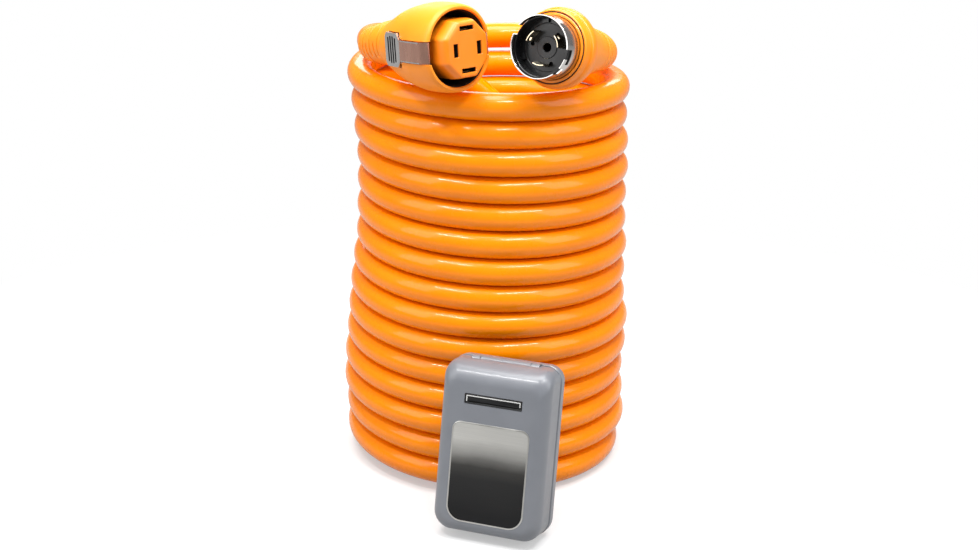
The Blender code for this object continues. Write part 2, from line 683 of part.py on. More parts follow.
def build_latch(frame, shell, side, side_name):
    """One side lever with its pocket, pin and spring."""
    surface = shell_half_width(PIVOT_BACK) + LATCH_PROUD
    pivot = (side * (surface - PIVOT_INSET), 0.0, -PIVOT_BACK)
    cutter = loft_mesh("latch_pocket_" + side_name, bar_rings(side, pocket_stations()))
    combine(shell, make_cutter("latch_pocket_" + side_name, cutter, frame))
    empty = make_empty("connector_latch_pivot_" + side_name, frame, Matrix.Translation(pivot))
    name = "connector_latch_" + side_name
    lever = place(name, loft_mesh(name, bar_rings(side, latch_stations())), MATERIALS["steel"], empty, pivot)
    ears, webs = [], []
    for half in (-1, 1):
        y = half * (STRAP_H - LATCH_EAR_T) / 2
        ears.append(((pivot[0], y, pivot[2]), LATCH_EAR_R, LATCH_EAR_T, "y"))
        web = PIVOT_INSET - LATCH_T / 2
        webs.append(((pivot[0] + side * web / 2, y, pivot[2]), (web, LATCH_EAR_T, 2 * LATCH_EAR_R)))
    ear_mesh, web_mesh = rod_mesh("latch_ears_" + side_name, ears), box_mesh("latch_webs_" + side_name, webs)
    combine(lever, make_cutter("latch_ears_" + side_name, ear_mesh, empty, pivot), "UNION")
    combine(lever, make_cutter("latch_webs_" + side_name, web_mesh, empty, pivot), "UNION")

    pin_length = STRAP_H + 8 * MM
    pin_name = "connector_latch_pin_" + side_name
    pin = rod_mesh(pin_name, [(pivot, LATCH_PIN_R, pin_length, "y")], 10)
    place(pin_name, pin, MATERIALS["steel"], frame)
    hole_name = "latch_pin_hole_" + side_name
    hole = rod_mesh(hole_name, [(pivot, LATCH_PIN_R + GAP, pin_length + 2 * GAP, "y")], 10)
    combine(shell, make_cutter(hole_name, hole, frame))
    ear_bore = rod_mesh("latch_ear_bore_" + side_name, [(pivot, LATCH_PIN_R + GAP, pin_length, "y")], 10)
    combine(lever, make_cutter("latch_ear_bore_" + side_name, ear_bore, empty, pivot))

    points = [Vector(pivot) + Vector((x, along, y))
              for x, y, along in spring_helix(LATCH_PIN_R, LATCH_WIRE, LATCH_COILS)]
    tube("connector_latch_spring_" + side_name, points, LATCH_WIRE, 0, MATERIALS["steel"], frame)


def build_connector(frame):
    shell = build_connector_shell(frame)
    for side, side_name in ((-1, "left"), (1, "right")):
        build_latch(frame, shell, side, side_name)

    nose = cut_corner_outline(INSERT_W - 6 * MM, INSERT_H - 6 * MM, INSERT_CHAMFER - 2 * MM)
    waist = cut_corner_outline(INSERT_W, INSERT_H, INSERT_CHAMFER)
    rings = [at_height(waist, -INSERT_REAR), at_height(waist, INSERT_PROUD - NOSE_LENGTH),
             at_height(nose, INSERT_PROUD)]
    insert = place("connector_insert", loft_mesh("connector_insert", rings), MATERIALS["insert"], frame)
    length = INSERT_REAR + INSERT_PROUD + 2 * MM
    middle = (INSERT_PROUD - INSERT_REAR) / 2
    slots = [((x, y, middle), (w, h, length)) for _, x, y, w, h in slot_places()]
    combine(insert, make_cutter("contact_slots", box_mesh("contact_slots", slots), frame))

    for name, x, y, w, h in slot_places():
        flat_w, flat_h = w - 2 * GAP, h - 2 * GAP
        outline = rounded_outline(flat_w, flat_h, 0.3 * MM, 1, (x, y))
        bore = rounded_outline(flat_w - 2 * CONTACT_WALL, flat_h - 2 * CONTACT_WALL, 0.3 * MM, 1, (x, y))
        mesh = flat_mesh("connector_contact_" + name, [outline, bore],
                         -INSERT_REAR - 2 * MM, INSERT_PROUD - CONTACT_RECESS)
        place("connector_contact_" + name, mesh, MATERIALS["brass"], frame)

    seal_inset = HOOD_WALL + MOUTH_TAPER + 2 * GAP
    seal_outer = oval_ring(HOOD_W / 2 - seal_inset, HOOD_H / 2 - seal_inset, 0, 2.1)
    seal_outline = [(point.x, point.y) for point in seal_outer]
    bore = cut_corner_outline(INSERT_W + 2 * GAP, INSERT_H + 2 * GAP, INSERT_CHAMFER)
    mesh = flat_mesh("connector_seal", [seal_outline, bore], -HOOD_DEPTH + GAP, -HOOD_DEPTH + 5 * MM)
    place("connector_seal", mesh, MATERIALS["rubber"], frame)

    grip = (CABLE_R + GAP + 0.2 * MM, ROOM_HALF_W - 0.6 * MM)
    rear = -SHELL_LENGTH + 9 * MM + GAP
    profile = [(grip[1], rear + 6 * MM), (grip[1], rear), (grip[0], rear), (grip[0], rear + 6 * MM)]
    turned("connector_cable_clamp", profile, MATERIALS["clamp"], frame, 20)
    build_cores("connector", frame, -SHELL_LENGTH + CABLE_END_IN, -INSERT_REAR - 2 * MM - GAP,
                [(name, x, y) for name, x, y, _, _ in slot_places()])


def build_cores(prefix, frame, rear, front, ends):
    """Insulated conductors that fan out from the cable's end to the contacts."""
    for name, x, y in ends:
        away = Vector((x, y, 0)).normalized()
        start = away * (CORE_R * 1.5 + GAP)
        end = Vector((x, y, front))
        points = [Vector((start.x, start.y, rear + GAP)), Vector((start.x, start.y, rear + 5 * MM)),
                  Vector((x * 0.65, y * 0.65, (rear + front) / 2 + 2 * MM)),
                  Vector((x, y, front - 6 * MM)), end]
        tube(prefix + "_core_" + name, points, CORE_R, 1, MATERIALS["core_" + name], frame)


# ---------------------------------------------------------------- male plug
def arc_outline(radius, thick, span, middle, steps=6):
    """A strip along an arc, for a curved blade."""
    outline = []
    for edge, order in ((radius + thick / 2, 1), (radius - thick / 2, -1)):
        for step in range(steps + 1)[::order]:
            angle = math.radians(middle + span * (step / steps - 0.5))
            outline.append((edge * math.cos(angle), edge * math.sin(angle)))
    return outline


def blade_places():
    return [("line_1", 145.0), ("line_2", 25.0), ("neutral", 265.0)]


def build_shroud(frame):
    inner = SHROUD_R - SHROUD_WALL
    profile = [(SHROUD_R, 0), (SHROUD_R, -SHROUD_LENGTH), (inner, -SHROUD_LENGTH), (inner, 0)]
    shroud = turned("plug_shroud", profile, MATERIALS["steel"], frame, 40)
    notches = []
    for angle, width, depth in ((152.0, 11 * MM, 13 * MM), (-14.0, 7 * MM, 11 * MM), (-42.0, 9 * MM, 9 * MM)):
        turn = Matrix.Rotation(math.radians(angle), 4, "Z")
        centre = turn @ Vector((SHROUD_R, 0, 1 * MM - depth / 2))
        notches.append((centre, (10 * MM, width, depth + 2 * MM), turn))
    combine(shroud, make_cutter("shroud_notches", box_mesh("shroud_notches", notches), frame))


def build_plug(frame):
    build_shroud(frame)
    bore = SHROUD_R - SHROUD_WALL - GAP
    face = -FACE_RECESS
    profile = [(CENTRE_HOLE_R, face), (bore, face), (bore, face - INSULATOR_T),
               (CENTRE_HOLE_R, face - INSULATOR_T)]
    insulator = turned("plug_insulator", profile, MATERIALS["insulator"], frame, 32)
    rear = face - INSULATOR_T - 3 * MM
    for name, angle in blade_places():
        outline = arc_outline(BLADE_RADIUS, BLADE_T, BLADE_SPAN, angle)
        mesh = flat_mesh("plug_blade_" + name, [outline], rear, -BLADE_TIP)
        place("plug_blade_" + name, mesh, MATERIALS["brass"], frame)
        slot = arc_outline(BLADE_RADIUS, BLADE_T + 2 * GAP, BLADE_SPAN + 2, angle)
        cut = flat_mesh("blade_slot_" + name, [slot], face - INSULATOR_T - MM, face + MM)
        combine(insulator, make_cutter("blade_slot_" + name, cut, frame))

    ring = SHROUD_R + GAP
    profile = [(ring + 3.2 * MM, -SEAL_FRONT), (ring + 3.2 * MM, -SEAL_FRONT - SEAL_T),
               (ring, -SEAL_FRONT - SEAL_T), (ring, -SEAL_FRONT)]
    turned("plug_seal_ring", profile, MATERIALS["rubber"], frame, 32)

    neck = ring + 3.5 * MM
    hub = neck + GAP
    profile = [
        (COLLAR_R - 6.5 * MM, -COLLAR_FRONT), (COLLAR_R - 4.0 * MM, -COLLAR_FRONT - 1.2 * MM),
        (COLLAR_R - 3.2 * MM, -COLLAR_FRONT - 6.5 * MM), (COLLAR_R - 0.8 * MM, -COLLAR_FRONT - 7.5 * MM),
        (COLLAR_R, -COLLAR_FRONT - 10 * MM), (COLLAR_R, -COLLAR_REAR + 6 * MM),
        (COLLAR_R - 1.0 * MM, -COLLAR_REAR + 3 * MM), (COLLAR_R - 3.0 * MM, -COLLAR_REAR + 1 * MM),
        (COLLAR_R - 4.5 * MM, -COLLAR_REAR), (hub, -COLLAR_REAR), (hub, -COLLAR_FRONT - 3.5 * MM),
        (ring, -COLLAR_FRONT - 3.5 * MM), (ring, -COLLAR_FRONT)]
    turned("plug_collar", profile, MATERIALS["shell"], frame, 32)

    body_front = -COLLAR_FRONT - 3.5 * MM - GAP
    step = -COLLAR_REAR - GAP
    rear = -BODY_REAR
    room = PLUG_BOOT_R - BODY_WALL
    stop = -SHROUD_LENGTH - GAP
    swell = COLLAR_R - 7.0 * MM - PLUG_BOOT_R
    taper = [(PLUG_BOOT_R + swell * share, step + (rear - step) * along)
             for share, along in ((0.787, 0.312), (0.463, 0.555), (0.139, 0.745))]
    profile = [
        (neck, body_front), (neck, step), (COLLAR_R - 6.5 * MM, step), (COLLAR_R - 7.0 * MM, step - 4 * MM),
        *taper, (PLUG_BOOT_R, rear + 2 * MM), (PLUG_BOOT_R, rear), (CABLE_R + BORE_CLEARANCE, rear),
        (CABLE_R + BORE_CLEARANCE, rear + 8 * MM), (room - 1 * MM, rear + 8 * MM),
        (room + 4 * MM, step - 20 * MM), (SHROUD_R - 4 * MM, stop - 4 * MM), (SHROUD_R - 4 * MM, stop),
        (ring, stop), (ring, body_front)]
    turned("plug_body", profile, MATERIALS["shell"], frame, 32)

    inside = rear + 8 * MM + GAP
    grip = (CABLE_R + GAP + 0.2 * MM, room - 1.4 * MM)
    profile = [(grip[1], inside + 6 * MM), (grip[1], inside), (grip[0], inside), (grip[0], inside + 6 * MM)]
    turned("plug_cable_clamp", profile, MATERIALS["clamp"], frame, 20)
    ends = [(name, *polar(angle, PLUG_CORE_CIRCLE, 0).xy) for name, angle in blade_places()]
    build_cores("plug", frame, rear + CABLE_END_IN, face - INSULATOR_T - 3 * MM - GAP, ends)


# ---------------------------------------------------------------- wall inlet
def lid_ring(z, inset, radius):
    margin = 2 * (LID_MARGIN + inset)
    return at_height(rounded_outline(INLET_W - margin, INLET_H - margin, radius, 5), z)


def hinge_axis():
    return (0.0, INLET_H / 2 - HINGE_DROP, HINGE_FRONT)


def build_inlet_base(frame):
    outline = rounded_outline(INLET_W, INLET_H, INLET_CORNER, 5)
    holes = [circle_outline(2.6 * MM, (sx * (INLET_W / 2 - 9 * MM), sy * (INLET_H / 2 - 17 * MM)), 10)
             for sx in (-1, 1) for sy in (-1, 1)]
    flange = flat_mesh("inlet_base", [outline] + holes, 0, FLANGE_T)
    base = place("inlet_base", flange, MATERIALS["grey"], frame)
    centre = (0.0, SOCKET_Y)
    clear_w, clear_h = socket_size()
    collar = [oval_ring(clear_w / 2 + SOCKET_WALL, clear_h / 2 + SOCKET_WALL, z, 3.0, 28, centre)
              for z in (FLANGE_T / 2, SOCKET_FRONT)]
    combine(base, make_cutter("socket_collar", loft_mesh("socket_collar", collar), frame), "UNION")
    cup_w, cup_h = cup_size()
    cup_outline = rounded_outline(cup_w, cup_h, 10 * MM, 3, centre)
    cup = flat_mesh("rear_cup", [cup_outline], -REAR_DEPTH, FLANGE_T / 2)
    combine(base, make_cutter("rear_cup", cup, frame), "UNION")
    axis = hinge_axis()
    ears = []
    for side in (-1, 1):
        x = side * (BARREL_L / 2 + 2 * GAP + EAR_L / 2)
        ears.append(((x, axis[1], axis[2]), KNUCKLE_R, EAR_L, "x"))
    combine(base, make_cutter("hinge_ears", rod_mesh("hinge_ears", ears), frame), "UNION")
    foot_z, foot_size = (FLANGE_T + axis[2]) / 2 - MM, (EAR_L, 1.6 * KNUCKLE_R, axis[2] - FLANGE_T + 2 * MM)
    feet = [((x, axis[1], foot_z), foot_size) for (x, _, _), _, _, _ in ears]
    combine(base, make_cutter("hinge_feet", box_mesh("hinge_feet", feet), frame), "UNION")

    mouth = [cut_corner_outline(clear_w, clear_h, INSERT_CHAMFER, centre)]
    combine(base, make_cutter("socket_room", flat_mesh("socket_room", mouth, -CARRIER_BACK - CARRIER_T,
                                                       SOCKET_FRONT + MM), frame))
    back_w, back_h = clear_w - 2 * LEDGE, clear_h - 2 * LEDGE
    room = [cut_corner_outline(back_w, back_h, INSERT_CHAMFER, centre)]
    combine(base, make_cutter("terminal_room", flat_mesh("terminal_room", room, -REAR_DEPTH - MM,
                                                         -CARRIER_BACK), frame))
    relief_h = HINGE_DROP + KNUCKLE_R
    relief_z = HINGE_FRONT - KNUCKLE_R - 0.6 * MM
    relief_size = (BARREL_L + 2 * GAP, relief_h + 2 * MM, 10 * MM)
    relief = [((0, INLET_H / 2 - relief_h / 2, relief_z + relief_size[2] / 2), relief_size)]
    combine(base, make_cutter("barrel_relief", box_mesh("barrel_relief", relief), frame))
    bore = rod_mesh("ear_bore", [(axis, HINGE_PIN_R + GAP, BARREL_L + 4 * EAR_L, "x")])
    combine(base, make_cutter("ear_bore", bore, frame))
    screws = [((x, y, -REAR_DEPTH), SCREW_R + GAP, 2 * 9 * MM, "z") for x, y in cover_screw_places()]
    combine(base, make_cutter("cover_screw_holes", rod_mesh("cover_screw_holes", screws, 10), frame))


def socket_size():
    return INSERT_W + 2 * SOCKET_CLEARANCE, INSERT_H + 2 * SOCKET_CLEARANCE


def cup_size():
    clear_w, clear_h = socket_size()
    return clear_w + 2 * SOCKET_WALL + 8 * MM, clear_h + 2 * SOCKET_WALL + 8 * MM


def cover_screw_places():
    cup_w, cup_h = cup_size()
    across, up = cup_w / 2 - SCREW_INSET, cup_h / 2 - SCREW_INSET
    return [(sx * across, SOCKET_Y + sy * up) for sx in (-1, 1) for sy in (-1, 1)]


def build_inlet_rear(frame):
    cup_w, cup_h = cup_size()
    centre = (0.0, SOCKET_Y)
    holes = [circle_outline(SCREW_R + GAP, place_xy, 10) for place_xy in cover_screw_places()]
    entry = circle_outline(12 * MM, centre, 20)
    low = -REAR_DEPTH - GAP - COVER_T
    outline = rounded_outline(cup_w, cup_h, 10 * MM, 3, centre)
    cover = flat_mesh("inlet_rear_cover", [outline, entry] + holes, low, -REAR_DEPTH - GAP)
    place("inlet_rear_cover", cover, MATERIALS["grey"], frame)
    grommet_frame = make_empty("grommet_centre", frame, Matrix.Translation((0, SOCKET_Y, 0)))
    outer = 12 * MM - GAP
    profile = [(outer, -REAR_DEPTH - 0.5 * MM), (outer, low - 0.2 * MM), (outer - 3 * MM, low - 0.2 * MM),
               (outer - 3 * MM, -REAR_DEPTH - 0.5 * MM)]
    turned("inlet_grommet", profile, MATERIALS["rubber"], grommet_frame, 20)
    for number, (x, y) in enumerate(cover_screw_places(), 1):
        screw_frame = make_empty("cover_screw_centre_%d" % number, frame, Matrix.Translation((x, y, 0)))
        profile = [(0, -REAR_DEPTH + 8 * MM), (SCREW_R, -REAR_DEPTH + 8 * MM), (SCREW_R, low - GAP),
                   (SCREW_HEAD_R, low - GAP), (SCREW_HEAD_R, low - GAP - 1.2 * MM),
                   (SCREW_HEAD_R - MM, low - GAP - 1.9 * MM), (0, low - GAP - 1.9 * MM)]
        turned("inlet_cover_screw_%d" % number, profile, MATERIALS["steel"], screw_frame, 10)

    outline = rounded_outline(INLET_W - 6 * MM, INLET_H - 6 * MM, INLET_CORNER - 3 * MM, 5)
    opening = rounded_outline(cup_w + 2 * MM, cup_h + 2 * MM, 11 * MM, 3, centre)
    gasket = flat_mesh("inlet_gasket", [outline, opening], -GASKET_T - GAP, -GAP)
    place("inlet_gasket", gasket, MATERIALS["rubber"], frame)


def build_inlet_socket(frame):
    clear_w, clear_h = socket_size()
    centre = (0.0, SOCKET_Y)
    outline = cut_corner_outline(clear_w - 2 * GAP, clear_h - 2 * GAP, INSERT_CHAMFER, centre)
    slots, pins = [], []
    for name, x, y, w, h in slot_places():
        wide = (w - 3 * MM) if w > h else PIN_THICK
        tall = PIN_THICK if w > h else (h - 2 * MM)
        slots.append(rounded_outline(wide + 2 * GAP, tall + 2 * GAP, 0.4 * MM, 1, (x, y + SOCKET_Y)))
        pins.append((name, rounded_outline(wide, tall, 0.4 * MM, 1, (x, y + SOCKET_Y))))
    low = -CARRIER_BACK + GAP
    carrier = flat_mesh("inlet_pin_carrier", [outline] + slots, low, low + CARRIER_T)
    place("inlet_pin_carrier", carrier, MATERIALS["insulator"], frame)
    for name, pin in pins:
        mesh = flat_mesh("inlet_pin_" + name, [pin], -REAR_DEPTH + 3 * MM, PIN_REACH)
        place("inlet_pin_" + name, mesh, MATERIALS["brass"], frame)


def build_inlet_lid(frame):
    axis = hinge_axis()
    pivot = make_empty("inlet_lid_pivot", frame, Matrix.Translation(axis))
    base_z = FLANGE_T + GAP
    top = FLANGE_T + LID_DEPTH
    outer = [lid_ring(base_z, 0, 14 * MM), lid_ring(top - 13 * MM, 0.4 * MM, 14 * MM),
             lid_ring(top - 7 * MM, 1.6 * MM, 13.5 * MM), lid_ring(top - 2.5 * MM, 4.6 * MM, 13 * MM),
             lid_ring(top - 0.6 * MM, 8.2 * MM, 12 * MM), lid_ring(top, 12 * MM, 11 * MM)]
    lid = place("inlet_lid", loft_mesh("inlet_lid", outer), MATERIALS["grey"], pivot, axis)
    inner = [lid_ring(base_z - MM, LID_WALL, 11 * MM), lid_ring(top - 12 * MM, LID_WALL, 11 * MM),
             lid_ring(top - LID_WALL - 1.6 * MM, LID_WALL + 5 * MM, 10 * MM),
             lid_ring(top - LID_WALL, LID_WALL + 9 * MM, 9 * MM)]
    combine(lid, make_cutter("lid_hollow", loft_mesh("lid_hollow", inner), pivot, axis))

    ear_room = [((side * (BARREL_L / 2 + 2 * GAP + EAR_L / 2), axis[1], axis[2] - 2 * MM),
                 (EAR_L + 4 * GAP, 3 * KNUCKLE_R, 2 * KNUCKLE_R + 6 * MM)) for side in (-1, 1)]
    combine(lid, make_cutter("ear_room", box_mesh("ear_room", ear_room), pivot, axis))
    heel = box_mesh("heel_room", [((0, axis[1] + 2 * MM, FLANGE_T), (INLET_W + 2 * MM, 2 * KNUCKLE_R, 5.6 * MM))])
    combine(lid, make_cutter("heel_room", heel, pivot, axis))
    barrel = rod_mesh("lid_barrel", [(axis, KNUCKLE_R, BARREL_L, "x")], 16)
    combine(lid, make_cutter("lid_barrel", barrel, pivot, axis), "UNION")
    bore = rod_mesh("barrel_bore", [(axis, KNUCKLE_R - KNUCKLE_WALL, BARREL_L + 2 * GAP, "x")])
    combine(lid, make_cutter("barrel_bore", bore, pivot, axis))

    recess = rounded_outline(PLATE_W + 2 * GAP, PLATE_H + 2 * GAP, 9 * MM, 4, (0, PLATE_Y))
    cut = flat_mesh("plate_recess", [recess], top - 0.7 * MM, top + MM)
    combine(lid, make_cutter("plate_recess", cut, pivot, axis))
    plate = flat_mesh("inlet_lid_plate", [rounded_outline(PLATE_W, PLATE_H, 8.7 * MM, 4, (0, PLATE_Y))],
                      top - 0.4 * MM, top - 0.4 * MM + PLATE_T)
    place("inlet_lid_plate", plate, MATERIALS["plate"], pivot, axis)

    slot = [((0, LATCH_SLOT_Y, top), (LATCH_SLOT_W, LATCH_SLOT_H, 2 * LID_WALL + 2 * MM))]
    combine(lid, make_cutter("latch_slot", box_mesh("latch_slot", slot), pivot, axis))
    edge = rounded_outline(LATCH_SLOT_W - 2 * GAP, LATCH_SLOT_H - 2 * GAP, 0.8 * MM, 1, (0, LATCH_SLOT_Y))
    slot_centre = (0, LATCH_SLOT_Y)
    hole = rounded_outline(LATCH_SLOT_W - 2 * BEZEL_T, LATCH_SLOT_H - 2 * BEZEL_T, 0.5 * MM, 1, slot_centre)
    bezel = flat_mesh("inlet_slot_bezel", [edge, hole], top - LID_WALL, top + 0.4 * MM)
    place("inlet_slot_bezel", bezel, MATERIALS["insulator"], pivot, axis)
    bar_size = (LATCH_SLOT_W - 2 * BEZEL_T - 2 * GAP, LATCH_SLOT_H - 2 * BEZEL_T - 2 * GAP, 3.0 * MM)
    bar = box_mesh("inlet_slot_bar", [((0, LATCH_SLOT_Y, top - LID_WALL + 1.2 * MM), bar_size)])
    place("inlet_slot_bar", bar, MATERIALS["insulator"], pivot, axis)

    clear_w, clear_h = socket_size()
    sealed = oval_ring(clear_w / 2 + SOCKET_WALL, clear_h / 2 + SOCKET_WALL, 0, 3.0, 28, (0, SOCKET_Y))
    outline = [(point.x, point.y) for point in sealed]
    bore = rounded_outline(clear_w - 4 * MM, clear_h - 4 * MM, 14 * MM, 3, (0, SOCKET_Y))
    seal = flat_mesh("inlet_lid_gasket", [outline, bore], SOCKET_FRONT + GAP, top - LID_WALL - GAP)
    place("inlet_lid_gasket", seal, MATERIALS["rubber"], pivot, axis)

    pin = rod_mesh("inlet_hinge_pin", [(axis, HINGE_PIN_R, BARREL_L + 2 * EAR_L, "x")])
    place("inlet_hinge_pin", pin, MATERIALS["steel"], frame)
    points = [Vector(axis) + Vector((along, x, y))
              for x, y, along in spring_helix(HINGE_PIN_R, LID_WIRE, LID_COILS)]
    tube("inlet_lid_spring", points, LID_WIRE, 0, MATERIALS["steel"], frame)


# ---------------------------------------------------------------- assembly
def rear_edges():
    """Points round the back edges of the inlet's gasket and rear cover, and of its cover screws."""
    cup_w, cup_h = cup_size()
    cover_back = -REAR_DEPTH - GAP - COVER_T
    cover = rounded_outline(cup_w, cup_h, 10 * MM, 3, (0.0, SOCKET_Y))
    gasket = rounded_outline(INLET_W - 6 * MM, INLET_H - 6 * MM, INLET_CORNER - 3 * MM, 5)
    points = []
    for outline, z in ((cover, cover_back), (gasket, -GASKET_T - GAP)):
        corners = at_height(outline, z)
        for first, second in zip(corners, corners[1:] + corners[:1]):
            points += [first.lerp(second, share / 40) for share in range(40)]
    for place_xy in cover_screw_places():
        head = circle_outline(SCREW_HEAD_R - MM, place_xy, 10)
        points += at_height(head, cover_back - GAP - 1.9 * MM)
    return points


def inlet_matrix(winding):
    """The inlet on its lower edge, slid back step by step until its rear meets the winding."""
    lean = math.radians(INLET_LEAN)
    foot = -2 * COIL_R - INLET_H
    surface = BVHTree.FromObject(winding, bpy.context.evaluated_depsgraph_get())
    edges = rear_edges()
    for _ in range(80):
        centre = (INLET_X, foot + INLET_H / 2 * math.sin(lean), INLET_H / 2 * math.cos(lean))
        matrix = assembly_matrix(centre, -INLET_YAW, INLET_LEAN)
        foot += min(surface.find_nearest(matrix @ point)[3] for point in edges) - GAP
    print("inlet foot at, mm:", round(foot / MM, 3))
    return matrix


def world_box():
    bpy.context.view_layer.update()
    graph = bpy.context.evaluated_depsgraph_get()
    low, high = Vector((9, 9, 9)), Vector((-9, -9, -9))
    for obj in PARTS.objects:
        if obj.type == "EMPTY":
            continue
        shape = obj.evaluated_get(graph)
        mesh = shape.to_mesh()
        for vertex in mesh.vertices:
            point = shape.matrix_world @ vertex.co
            low = Vector(map(min, low, point))
            high = Vector(map(max, high, point))
        shape.to_mesh_clear()
    return low, high


def report_joint(name, empty, local_axis):
    matrix = empty.matrix_world
    axis = (matrix.to_3x3() @ Vector(local_axis)).normalized()
    print("joint", name, "pos", [round(value, 5) for value in matrix.translation],
          "axis", [round(value, 5) for value in axis])


clear_scene()
PARTS = make_collection("shore_power_cord")
CUTTERS = make_collection("cutters")
MATERIALS = {
    "cable": make_material("cable_orange", ORANGE, 0.28),
    "shell": make_material("shell_orange", ORANGE_SOFT, 0.45),
    "insert": make_material("insert_orange", ORANGE_SOFT, 0.35),
    "boot": make_material("boot_orange", ORANGE_SOFT, 0.50),
    "rubber": make_material("black_rubber", BLACK, 0.70),
    "insulator": make_material("black_insulator", BLACK, 0.40),
    "clamp": make_material("clamp_grey", GREY, 0.50),
    "grey": make_material("inlet_grey", GREY, 0.40),
    "steel": make_material("stainless_steel", STEEL, 0.25, 1.0),
    "plate": make_material("brushed_plate", STEEL, 0.35, 1.0),
    "brass": make_material("brass", BRASS, 0.25, 1.0),
}
for core_name, core_colour in CORE_COLOURS.items():
    MATERIALS["core_" + core_name] = make_material("core_" + core_name, core_colour, 0.5)

ROOT = make_empty("coil_axis")
connector_matrix = assembly_matrix(CONNECTOR_RIM, CONNECTOR_YAW, CONNECTOR_TILT)
connector_frame = make_empty("connector_rim_centre", ROOT, connector_matrix)
plug_turn = assembly_matrix((0, 0, 0), -PLUG_YAW, PLUG_TILT)
plug_forward = (plug_turn @ Vector((0, 0, 1)))
plug_rim = Vector(PLUG_FLANGE) + plug_forward * FLANGE_BACK
plug_matrix = assembly_matrix(plug_rim, -PLUG_YAW, PLUG_TILT)
plug_frame = make_empty("plug_rim_centre", ROOT, plug_matrix)

build_connector(connector_frame)
build_plug(plug_frame)

connector_forward = connector_matrix.to_3x3() @ Vector((0, 0, 1))
connector_rear = connector_matrix @ Vector((0, 0, -SHELL_LENGTH))
plug_rear = plug_matrix @ Vector((0, 0, -BODY_REAR))
connector_lead = lead_points(connector_rear, connector_forward, CONNECTOR_ROUTE, -RUN_IN_SWEEP, True)
plug_lead = lead_points(plug_rear, plug_forward, PLUG_ROUTE[::-1], COIL_SWEEP, False)
build_boot("connector_boot", connector_lead, SHELL_REAR_R, BOOT_TIP_R)
build_boot("plug_boot", plug_lead, PLUG_BOOT_R, BOOT_TIP_R)
coil = build_cable(connector_lead, plug_lead)

inlet_frame = make_empty("inlet_wall_plane", ROOT, inlet_matrix(coil))
build_inlet_base(inlet_frame)
build_inlet_rear(inlet_frame)
build_inlet_socket(inlet_frame)
build_inlet_lid(inlet_frame)

low, high = world_box()
ROOT.location = (-(low.x + high.x) / 2, -(low.y + high.y) / 2, -low.z)
bpy.context.view_layer.update()
print("coil axis at", [round(value, 5) for value in ROOT.location], "box", [round(v, 4) for v in high - low])
print("connector rear", connector_rear, "plug rear", plug_rear)
for empty in PARTS.objects:
    if empty.name == "inlet_lid_pivot":
        report_joint("inlet_lid_hinge", empty, (-1, 0, 0))
    if empty.name.startswith("connector_latch_pivot"):
        report_joint(empty.name, empty, (0, 1, 0))
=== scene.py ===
"""Looks of the shore power cord: the cable, both of its ends and the wall inlet.

Units are metres and +Z is up. Each end, and the inlet, is modelled in its own frame, whose
+Z points out of the mating face, +Y up and +X to the viewer's right.
"""
import math

import bmesh
import bpy
from mathutils import Matrix, Vector


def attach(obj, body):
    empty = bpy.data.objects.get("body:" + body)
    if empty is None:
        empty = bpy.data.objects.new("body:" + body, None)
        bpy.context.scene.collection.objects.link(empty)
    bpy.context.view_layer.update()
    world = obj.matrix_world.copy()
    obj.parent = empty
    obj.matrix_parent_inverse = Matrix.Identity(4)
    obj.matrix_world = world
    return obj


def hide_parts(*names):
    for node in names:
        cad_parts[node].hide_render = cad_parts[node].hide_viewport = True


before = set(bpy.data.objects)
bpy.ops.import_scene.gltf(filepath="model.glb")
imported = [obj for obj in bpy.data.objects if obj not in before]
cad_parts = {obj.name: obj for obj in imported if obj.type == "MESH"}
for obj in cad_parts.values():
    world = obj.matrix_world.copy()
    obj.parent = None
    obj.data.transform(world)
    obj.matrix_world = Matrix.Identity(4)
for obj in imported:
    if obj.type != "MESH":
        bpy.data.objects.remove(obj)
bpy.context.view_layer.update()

MM = 0.001


def mm(*values):
    """Millimetres as metres."""
    return tuple(value * MM for value in values)


# -------- dimensions of the model
GAP = 0.3 * MM  # clearance between touching pieces
AXIS = Vector((0.0, 0.06206, 0.0))  # the coil's axis on the floor
FORWARD = Vector((0, 0, 1))  # out of a mating face, in its own frame

CABLE_R = 15.0 * MM
COIL_R = 145.0 * MM
COIL_PITCH = 30.5 * MM
COIL_SWEEP = 5263.0  # degrees wound, from the floor to the top
COIL_START = -13.0
RUN_IN_SWEEP = 150.0  # degrees of the inner loop that lies on the floor
RUN_IN_INSET = 31.5 * MM
BLEND_BEFORE = 60.0
BLEND_SWEEP = 200.0
SETTLE_DROP = 3.0 * MM  # how far the upper turns settle
SETTLE_SWEEP = 9 * 360.0
BORE_CLEARANCE = 0.8 * MM  # between the cable and the bores that it passes through

# Degrees seen from above, radius and height.
CONNECTOR_ROUTE = [
    (203, 0.135, 0.4925), (185, 0.133, 0.490), (167, 0.127, 0.485),
    (150, 0.1185, 0.477), (134, 0.1142, 0.4615), (117, 0.1132, 0.4365), (97, 0.1132, 0.402),
    (72, 0.1132, 0.360), (42, 0.1132, 0.312), (7, 0.1132, 0.258), (-28, 0.1132, 0.205),
    (-63, 0.1132, 0.153), (-98, 0.1132, 0.104), (-133, 0.1132, 0.061), (-163, 0.1135, 0.035),
    (-193, 0.1135, 0.0195),
]
PLUG_ROUTE = [
    (105, 0.146, 0.4615), (85, 0.1462, 0.464), (62, 0.144, 0.4665),
    (40, 0.139, 0.469), (20, 0.132, 0.4715), (2, 0.1265, 0.475), (-14, 0.125, 0.481),
]
STRAIGHT_EXIT = 10.0 * MM  # the straight stretch behind a rigid shell
CABLE_END_IN = 12.0 * MM  # how far the jacket reaches into each rigid shell
# The pile leans a little: height and sideways drift of its middle.
DRIFT = [(0.0, 0.0), (0.09, -0.0030), (0.20, 0.0008), (0.32, 0.0050), (0.40, 0.0025), (0.455, 0.0)]
